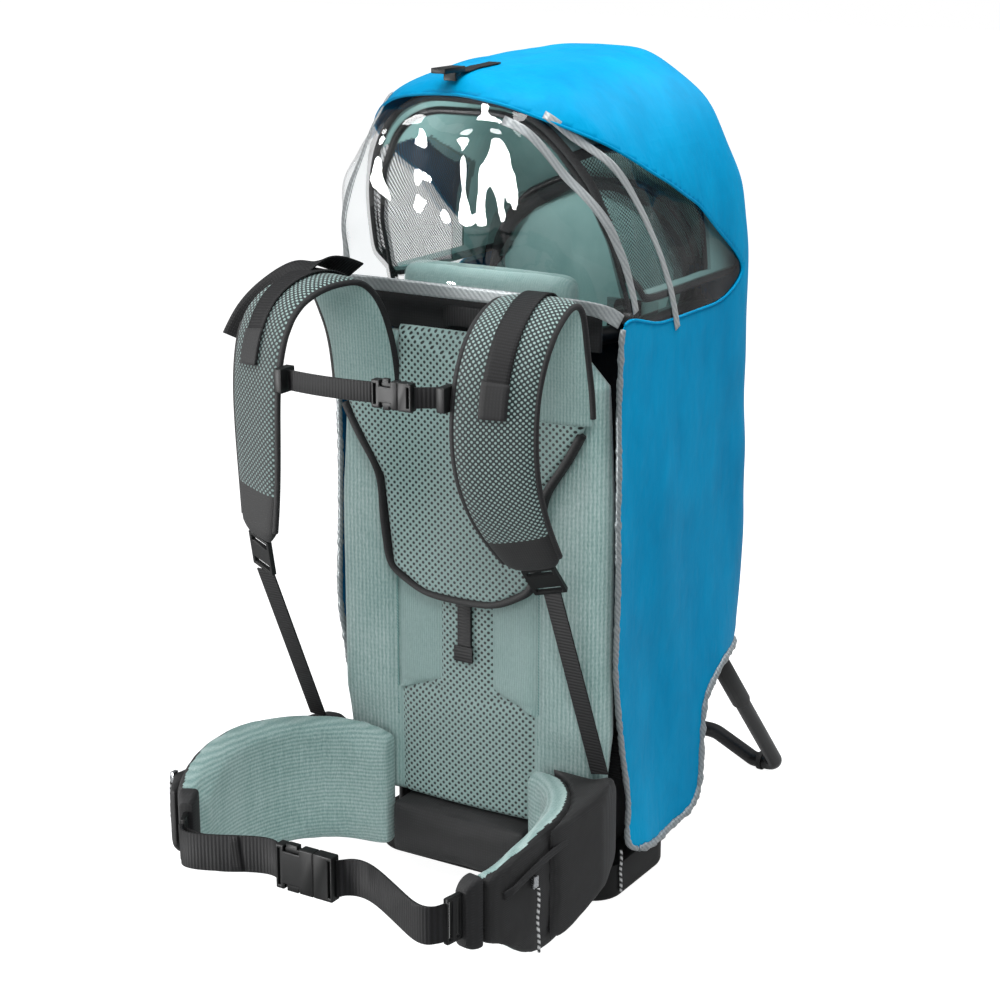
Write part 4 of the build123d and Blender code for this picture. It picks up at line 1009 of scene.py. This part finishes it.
def panel_front(x, z, half):
    """Distance in front of the panel's back face at a point."""
    a = abs(x)
    column = np.interp(z, COLUMN_Z, COLUMN_HALF)
    seam = abs(a - SIDE_SEAM)
    inner = abs(a - column) if column < 0.079 or z < 0.212 else 1.0
    low_seam = abs(z - 0.222) if 0.031 < a < 0.080 else 1.0
    groove = 0.0042 * math.exp(-(seam / 0.0032) ** 2) + 0.0024 * math.exp(-(min(inner, low_seam) / 0.0025) ** 2)
    puff = 0.0
    if a > SIDE_SEAM:
        share = (a - SIDE_SEAM) / max(half - SIDE_SEAM, 0.01)
        puff = 0.0075 * math.sin(math.pi * min(1, max(0, share))) ** 0.6
        puff *= eased(z, 0.172, 0.215) * (1 - eased(z, 0.40, 0.46))
    elif a < column and z < 0.215:
        puff = 0.0035 * math.cos(math.pi / 2 * a / column) * (1 - eased(z, 0.19, 0.235))
    elif a > column:
        puff = 0.003 * math.sin(math.pi * (a - column) / max(SIDE_SEAM - column, 0.01)) * (1 - eased(z, 0.235, 0.262))
    return PANEL_DEPTH - groove + puff + 0.0005 * noise.noise(Vector((x * 34, 0, z * 22)))


def back_panel():
    """Padded back: a mesh column down the middle, smooth cloth beside it and knit at the sides."""
    rows = []
    zs = np.arange(PANEL_LOW_Z + 0.0005, PANEL_TOP_Z - 0.0005, 0.003)
    for z in zs:
        half = float(np.interp(z, PANEL_Z, PANEL_HALF))
        column = float(np.interp(z, COLUMN_Z, COLUMN_HALF))
        right = np.concatenate([np.linspace(0, column, 13), np.linspace(column, SIDE_SEAM, 10)[1:],
                                SIDE_SEAM + (half - SIDE_SEAM) * np.sin(np.linspace(0, math.pi / 2, 20))[1:]])
        xs = np.concatenate([-right[::-1], right[1:]])
        cut = min(1.0, (z - PANEL_LOW_Z) / 0.010, (PANEL_TOP_Z - z) / 0.012)
        end = (1 - (1 - max(0.0, cut)) ** 2.4) ** (1 / 2.4)
        ring = []
        for x in xs:
            roll = max(0.0, (abs(x) - (half - 0.020)) / 0.020)
            edge = (1 - min(1.0, roll) ** 2.6) ** (1 / 2.6)
            ring.append((x, PANEL_BACK_Y - panel_front(x, z, half) * max(edge, 0.05) * end, z))
        ring += [(x, PANEL_BACK_Y + 0.0002, z) for x in np.linspace(half, -half, 7)[1:-1]]
        rows.append(ring)
    front = len(xs)

    def zone(i, k):
        if k >= front - 1:
            return 2
        x = abs((rows[i][k][0] + rows[i][k + 1][0]) / 2)
        column = np.interp(zs[i], COLUMN_Z, COLUMN_HALF)
        return 0 if x < column else 1 if x < SIDE_SEAM else 2

    piece = skin("padded_back", rows, [TEAL_MESH, TEAL_SMOOTH, TEAL_KNIT], None, zone)
    placed(piece, "pack", "teal_fabric", "back_panel")
    for side in (-1, 1):
        line = [(side * (SIDE_SEAM + 0.0016), -0.0935, z) for z in np.arange(0.182, 0.56, 0.004)]
        rib = piping(f"panel_seam_{'lr'[side > 0]}", line, 0.0011, TEAL_THREAD)
        placed(rib, "pack", "teal_fabric")


# ---- yoke ----
YOKE_Z = [0.3265, 0.334, 0.352, 0.445, 0.518, 0.5275, 0.530, 0.62]
YOKE_BACK_Y = -0.0967
YOKE_LOW_Z = 0.3265
YOKE_HALF = [0.026, 0.052, 0.083, 0.094, 0.139, 0.143, 0.075, 0.073]


def yoke():
    """Mesh pad that slides on the back panel, with a black binding round it."""
    rows = []
    for z in YOKE_LOW_Z + np.linspace(0, 1, 84) * 0.250:
        half = float(np.interp(z, YOKE_Z, YOKE_HALF))
        xs = half * np.sin(np.linspace(-math.pi / 2, math.pi / 2, 64))
        ring = []
        for x in xs:
            lift = eased(z, 0.50, 0.5765) * (abs(x) / 0.073) * 0.026 if z > 0.5 else 0.0
            roll = max(0.0, (abs(x) - (half - 0.012)) / 0.012)
            edge = (1 - min(1.0, roll) ** 2.4) ** (1 / 2.4)
            end = min(1.0, (z - 0.3255) / 0.006, (0.5785 - z) / 0.006) ** 0.5
            crown = 0.0125 + 0.0016 * math.cos(x / max(half, 0.03) * 1.4)
            ring.append((x, YOKE_BACK_Y - crown * max(edge * end, 0.08), z + min(lift, 0.03)))
        ring += [(x, YOKE_BACK_Y + 0.0001, ring[0][2]) for x in np.linspace(half, -half, 9)[1:-1]]
        rows.append(ring)
    piece = skin("yoke_mesh_pad", rows, TEAL_MESH)
    placed(piece, "harness", "mesh_fabric", "yoke_pad")
    right = [(0.138, 0.5165), (0.117, 0.480), (0.097, 0.446), (0.0925, 0.410), (0.088, 0.372), (0.082, 0.352),
             (0.066, 0.340), (0.044, 0.330), (0.022, 0.3265), (0, 0.3260)]
    outline = through(right + [(-x, z) for x, z in right[-2::-1]], 0.003)
    line = [(x, -0.1045, z) for x, z in outline]
    binding = sweep("yoke_binding", line, (0, 1, 0), pillow(0.0145, 0.0085, 2.4, 14), BLACK_KNIT)
    placed(binding, "harness", "black_fabric")


# ---- shoulder pads ----
PAD_ROOT = [(0.112, -0.104, 0.5284), (0.112, -0.108, 0.560), (0.113, -0.119, 0.602)]
PAD_FRONT = {1: [(0.114, -0.138, 0.648), (0.117, -0.196, 0.632), (0.117, -0.228, 0.570), (0.117, -0.224, 0.500),
                 (0.119, -0.194, 0.440), (0.121, -0.158, 0.396)],
             -1: [(0.126, -0.142, 0.646), (0.143, -0.202, 0.640), (0.145, -0.238, 0.588), (0.146, -0.243, 0.520),
                  (0.149, -0.239, 0.455), (0.154, -0.234, 0.404)]}
PAD_TWIST = math.radians(21)


def pad_line(side):
    """Middle of a shoulder pad, from its root over the shoulder to its lower end."""
    return through([(side * x, y, z) for x, y, z in PAD_ROOT + PAD_FRONT[side]], 0.0035)


def pad_across(side, count):
    """Way across the pad, which turns outwards as it comes over the shoulder."""
    share = np.clip((np.linspace(0, 1, count) - 0.2) / 0.3, 0, 1)
    angle = PAD_TWIST * share * share * (3 - 2 * share)
    return np.stack([np.cos(angle), side * np.sin(angle), 0 * angle], 1)


def pad_width(t):
    """Width at a share of the length: even, then narrower to the lower end."""
    return 0.080 * (1 - 0.3 * max(0.0, (t - 0.6) / 0.4) ** 2)


def shoulder_pad(side):
    """Curved pad with its piping, the load lifter that lies on it and the sewn-down end of that strap."""
    tag = "right" if side > 0 else "left"
    line = pad_line(side)
    across = pad_across(side, len(line))

    def section(t):
        taper = min(1.0, (1.004 - t) / 0.03) ** 0.5 if t > 0.974 else 1.0         # rounded lower end
        return pillow(pad_width(t) * (0.6 + 0.4 * taper) - 0.003, 0.0152 * taper, 3.0, 36)

    def zone(t, k):
        if t > 0.875:                           # the black sleeve at the lower end
            return 2
        return 0 if 0.02 < k < 0.47 else 1

    cloths = [STRAP_MESH, STRAP_LINING, BLACK_CLOTH]
    pad = sweep(f"shoulder_pad_{tag}_cover", line, across, section, cloths, which=zone)
    placed(pad, "harness", "strap_mesh", f"shoulder_pad_{tag}")
    sides, normals = line_frames(line, across)
    share = np.linspace(0, 1, len(line))
    half = np.array([pad_width(t) / 2 - 0.0012 for t in share])[:, None]
    for name, way in (("inner", -1), ("outer", 1)):
        edge = line + sides * half * way
        placed(piping(f"pad_piping_{tag}_{name}", edge[2:-4], 0.0032, BLACK_KNIT), "harness", "black_fabric")
    first, last = int(0.27 * len(line)), int(0.6 * len(line))
    lifter = line[first:last] + normals[first:last] * 0.0099
    lifter_strap = sweep(f"load_lifter_{tag}", lifter, across[first:last], flat(0.025, 0.0022), BLACK_WEB)
    placed(lifter_strap, "harness", "webbing", *(["load_lifters"] if side > 0 else []))
    patch_first, patch_last = int(0.52 * len(line)), int(0.60 * len(line))
    lap = line[patch_first:patch_last] + normals[patch_first:patch_last] * 0.0112
    placed(sweep(f"lifter_end_{tag}", lap, across[patch_first:patch_last], flat(0.027, 0.0028), BLACK_KNIT),
           "harness", "webbing")


# ---- straps and soft pieces ----
def soft_pieces():
    """Hip pads, pockets, lumbar, chin and seat pads and the head rest with its binding."""
    for tag in ("right", "left"):
        wing = cushion(f"hip_pad_{tag}", f"hip_wing_{tag}", TEAL_SIDE, "pack", "teal_fabric", 0.005, 0.0015, 0.004, 3.0)
        wing.data.materials.append(BLACK_CLOTH)
        for face in wing.data.polygons:
            inward = Vector((-face.center.x, -0.23 - face.center.y, 0)).normalized()
            if face.normal.dot(inward) < -0.2:
                face.material_index = 1
    cushion("pocket_right", "hip_pocket_right", BLACK_CLOTH, "pack", "black_fabric", 0.005, 0.001, 0.004, 3.0)
    cushion("pocket_left", "hip_pocket_left", BLACK_CLOTH, "pack", "black_fabric", 0.005, 0.001, 0.004, 3.0)
    cushion("lumbar_pad", "lumbar_band", BLACK_KNIT, "pack", "black_fabric", 0.005, 0.001, 0.003, 2.0)
    cushion("chin_pad", "drool_pad", TEAL_SMOOTH, "pack", "teal_fabric", 0.005, 0.001, 0.004, 3.0)
    cushion("seat_pad", "seat_cushion", TUB_TEAL, "pack", "teal_fabric", 0.006, 0.001, 0.003, 2.0)
    cushion("head_rest", "headrest_panel", TUB_TEAL, "pack", "teal_fabric", 0.005, 0.0, 0.002, 2.0, 3)
    arch = [(0.094, 0.560), (0.104, 0.600), (0.111, 0.632), (0.098, 0.668), (0.068, 0.694), (0.034, 0.710), (0, 0.716)]
    outline = through(arch + [(-x, z) for x, z in arch[-2::-1]], 0.004)
    rim = sweep("head_rest_binding", [(x, 0.154, z) for x, z in outline], (0, 1, 0), pillow(0.019, 0.015, 2.2, 16),
                BLACK_KNIT)
    placed(rim, "pack", "black_fabric")


def canopy():
    """Sunshade over the cockpit: cloth over the bows, netting in the sides and a bound front edge."""
    cloth = tree_of(NODES["canopy_fabric"])
    rows = skin_grid(cloth, cloth, 0.632, 0.70, 260, 40, 80)
    place = relaxed(rows, 16)
    count = len(rows[0])
    index, points, faces, kinds, uvs = {}, [], [], [], []
    for i in range(len(rows) - 1):
        for k in range(count):
            corners = [(i, k), (i, (k + 1) % count), (i + 1, (k + 1) % count), (i + 1, k)]
            if any(q not in place for q in corners):
                continue
            for q in corners:
                if q not in index:
                    index[q] = len(points)
                    points.append(place[q])
                    uvs.append((q[1] / count * 0.86, place[q][2]))
            faces.append([index[q] for q in corners])
            middle = sum(place[q] for q in corners) / 4
            side_view = abs(middle[0]) > 0.075 and middle[2] < 0.775 - 0.35 * max(0, middle[1] - 0.02)
            net = side_view and -0.075 < middle[1] < 0.135 and middle[2] > 0.642
            kinds.append(1 if net else 0)
    if all((len(rows) - 1, k) in place for k in range(count)):
        faces.append([index[(len(rows) - 1, k)] for k in range(count)])
        kinds.append(0)
    sheet = open_sheet("sunshade", points, faces, [CANOPY_TEAL, NET], uvs, kinds)
    wrinkle(sheet, 0.07, 0.0022, (1, 1, 0.6), 2.0)
    rims = even_rims(sheet, {})
    placed_between(sheet, "canopy_cloth", "canopy_fabric")
    surface = tree_of(sheet)
    for i, (rim, line) in enumerate(rims):
        if len(rim) > 60:
            placed_between(piping(f"sunshade_edge_{i}", line[::2], 0.0042, BLACK_KNIT, True, 10), "black_fabric")
    for side in (-1, 1):
        for name, drawn in (("front", [(-0.078, 0.642), (-0.079, 0.71), (-0.074, 0.778)]),
                            ("rear", [(0.137, 0.642), (0.137, 0.69), (0.128, 0.738)]),
                            ("top", [(-0.074, 0.778), (0.02, 0.776), (0.08, 0.757), (0.128, 0.738)])):
            line = side_line(drawn, side, surface)
            if len(line) > 6:
                edge = tape_on(f"net_edge_{name}_{'lr'[side > 0]}", line, 0.011, surface, BLACK_KNIT)
                placed_between(edge, "black_fabric")


def pull_cord(name, node, body, points):
    """Cord along the line of the cord in the frame; points are in millimetres."""
    curve = bpy.data.curves.new(name, "CURVE")
    curve.dimensions = "3D"
    curve.bevel_depth, curve.bevel_resolution, curve.resolution_u, curve.use_fill_caps = 0.0015, 4, 12, True
    spline = curve.splines.new("NURBS")
    spline.points.add(len(points) - 1)
    for point, place in zip(spline.points, points):
        point.co = (*(c / 1000 for c in place), 1)
    spline.order_u = 3
    spline.use_endpoint_u = True
    curve.materials.append(CORD)
    piece = bpy.data.objects.new(name, curve)
    bpy.context.scene.collection.objects.link(piece)
    placed(piece, body, "paracord", node)


CORDS = [("zip_pull_right", "zip_cord_right", "zip_r",
          [(185.5, -262, 118), (186.5, -262.5, 103), (185.2, -264, 86), (187, -263, 68), (186, -261.5, 52)]),
         ("zip_pull_left", "zip_cord_left", "zip_l",
          [(-232.5, -292, 150), (-233.5, -292.5, 136), (-232, -294, 120), (-233.8, -293, 104), (-233, -292, 92)]),
         ("zip_pull_base", "base_zip_cord", "pack",
          [(149, -30, 56), (150.2, -30.5, 45), (149.2, -31.5, 33), (150, -30.5, 21), (149.6, -30, 9)])]

# nodes that are shown as they are, by finish and by how far their edges are rounded
DRESSED = [
    (TUBE, 0, "back_frame rim_loop side_struts kickstand_bar canopy_bow canopy_rear_bow"),
    (PLASTIC, 0.0004, "chest_prong_upper chest_prong_lower"),
    (PLASTIC, 0.0006, "hip_prong_upper hip_prong_lower kickstand_sleeves"),
    (PLASTIC, 0.0008, "belt_triglides chest_buckle_male canopy_pivots cover_hook"),
    (PLASTIC, 0.001, "hip_buckle_male ladder_locks chest_buckle_female"),
    (PLASTIC, 0.0012, "hub_plates child_buckle hip_buckle_female chest_clips"),
    (PLASTIC, 0.002, "base_tray"),
    (STEEL, 0.0006, "pivot_pins zip_slider_right zip_slider_left"),
    (BLACK_CLOTH, 0.0008, "bag_flap"),
    (BLACK_CLOTH, 0.0012, "lower_bag"),
    (TUB, 0, "cockpit_shell"),
    (WEB_RUN_Z, 0.0004, "lower_webbing"),
    (WEB_RUN_Z, 0.0005, "stirrup_right stirrup_left pull_tab"),
    (WEB_RUN_Z, 0.0008, "child_harness"),
    (GREY_PLASTIC, 0.0006, "child_buckle_button"),
    (BLACK_KNIT, 0.0015, "top_panel wing_caps"),
    (WEB_RUN_X, 0.0004, "belt_webbing chest_webbing"),
    (WEB_RUN_X, 0.0006, "grab_handle"),
    (RUBBER, 0.0006, "kickstand_pads"),
]

def loose_ends(cover):
    """Free ends of straps that hang away from the object, the loop of the cover's hook and the pocket zips."""
    loop = lay_on([(0, -0.040, 0.9), (0, -0.062, 0.9), (0, -0.084, 0.9), (0, -0.100, 0.9)], cover, 0.0012)
    loop += [np.array((0, -0.116, 0.8565)), np.array((0, -0.130, 0.8575))]
    placed(strap("hook_loop", loop, (1, 0, 0), 0.014, 0.0016), "rain_cover", "webbing")
    lifter = [(-0.118, -0.112, 0.655), (-0.134, -0.150, 0.668), (-0.158, -0.190, 0.650), (-0.178, -0.212, 0.622),
              (-0.190, -0.218, 0.598)]
    placed(strap("lifter_tail_left", lifter, (0.75, 0.55, 0.15), 0.025, 0.002), "harness", "webbing")
    tongue = [(-0.096, -0.3535, 0.121), (-0.118, -0.3605, 0.119), (-0.150, -0.3600, 0.117), (-0.172, -0.3535, 0.116)]
    placed(strap("belt_tongue", tongue, (0, 0, 1), 0.038, 0.002), "pack", "webbing")
    drawn = [(-0.314, 0.128), (-0.262, 0.1365), (-0.200, 0.141), (-0.140, 0.139)]
    for side, tag in ((1, "right"), (-1, "left")):
        line = side_line(drawn, side, tree_of(NODES[f"hip_pocket_{tag}"]), 0.004, 0.0016)
        if len(line) > 6:
            placed(sweep(f"pocket_zip_{tag}", line, (0, 0, 1), flat(0.008, 0.0022), BLACK_KNIT), "pack", "black_fabric")


cover_skin = rain_cover()
for material, bevel, nodes in DRESSED:
    for node in nodes.split():
        dress(node, material, bevel)
back_panel()
yoke()
for side in (-1, 1):
    shoulder_pad(side)
soft_pieces()
loose_ends(cover_skin)
canopy()
for name, node, body, points in CORDS:
    pull_cord(name, node, body, points)


# ---- stage ----
def soft_light(name, place, aim, size, power, only_gloss=False):
    """Round lamp; one that is only for gloss shows in shiny pieces and lights nothing else."""
    light = bpy.data.lights.new(name, "AREA")
    light.shape, light.size, light.energy = "DISK", size, power
    lamp = bpy.data.objects.new(name, light)
    bpy.context.scene.collection.objects.link(lamp)
    lamp.location = place
    lamp.visible_diffuse = not only_gloss
    lamp.visible_camera = lamp.visible_transmission = False
    lamp.rotation_euler = (Vector(aim) - Vector(place)).to_track_quat("-Z", "Y").to_euler()
    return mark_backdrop(lamp)


def seen_directly(m):
    """1 where the camera sees a thing straight or through the film, else 0."""
    rays = [add(m, "LightPath", {}, ray) for ray in ("Is Camera Ray", "Is Transmission Ray")]
    return add(m, "Math", {0: rays[0], 1: rays[1]}, operation="MAXIMUM")


def white_surroundings():
    """White to the eye and through the film, and a soft even light on everything."""
    world = bpy.data.worlds.new("surroundings")
    bpy.context.scene.world = world
    world.use_nodes = True
    white, soft = [add(world, "Background", {"Color": color, "Strength": strength})
                   for color, strength in (((1, 1, 1, 1), 1.0), ((0.94, 0.97, 1.0, 1), 0.30))]
    pick = add(world, "MixShader", {0: seen_directly(world), 1: soft, 2: white})
    world.node_tree.links.new(pick, world.node_tree.nodes["World Output"].inputs["Surface"])


def build_stage():
    """Floor, lamps and camera."""
    scene = bpy.context.scene
    scene.view_settings.view_transform = "Standard"
    scene.view_settings.look = "None"
    white_surroundings()
    ground = bmesh.new()
    bmesh.ops.create_grid(ground, x_segments=1, y_segments=1, size=12.0)
    mesh = bpy.data.meshes.new("floor")
    ground.to_mesh(mesh)
    ground.free()
    floor = bpy.data.objects.new("floor", mesh)
    scene.collection.objects.link(floor)
    paint = begin("pale_floor", "#A8A8A8", 0.9, Emission_Color=(1, 1, 1, 1))
    add(paint, "", {"Emission Strength": total(paint, 0.24, (seen_directly(paint), 0.72))})
    mesh.materials.append(paint)
    soft_light("key_light", (1.3, -2.2, 2.6), (0, 0, 0.45), 1.4, 33)
    soft_light("fill_light", (-2.6, -1.6, 1.5), (0, 0, 0.4), 1.8, 9)
    soft_light("rim_light", (0.6, 2.4, 2.2), (0, 0, 0.5), 1.2, 14)
    soft_light("top_light", (0.35, 0.25, 2.7), (0, 0, 0.5), 1.5, 48)
    soft_light("high_card", (-0.95, -1.6, 2.6), (0, -0.1, 0.74), 0.7, 50, True)
    soft_light("low_card", (-1.10, -1.60, 0.30), (0, -0.1, 0.72), 0.6, 45, True)
    soft_light("middle_card", (-1.45, -2.25, 1.15), (0, -0.1, 0.76), 0.8, 30, True)
    glow = bpy.data.lights.new("cockpit_glow", "POINT")
    glow.energy, glow.shadow_soft_size = 0.55, 0.06
    lamp = bpy.data.objects.new("cockpit_glow", glow)
    scene.collection.objects.link(lamp)
    lamp.location = (0.0, -0.01, 0.735)
    lamp.visible_glossy = lamp.visible_camera = lamp.visible_transmission = False
    lens = bpy.data.cameras.new("camera")
    lens.lens, lens.sensor_width = 79.2, 36.0
    lens.clip_start, lens.clip_end = 0.05, 60
    camera = bpy.data.objects.new("camera", lens)
    scene.collection.objects.link(camera)
    camera.location = (1.14035, -1.88966, 1.04730)
    aim = Vector((-0.04178, 0.03940, 0.390)) - camera.location
    camera.rotation_euler = aim.to_track_quat("-Z", "Y").to_euler()
    scene.camera = camera


build_stage()
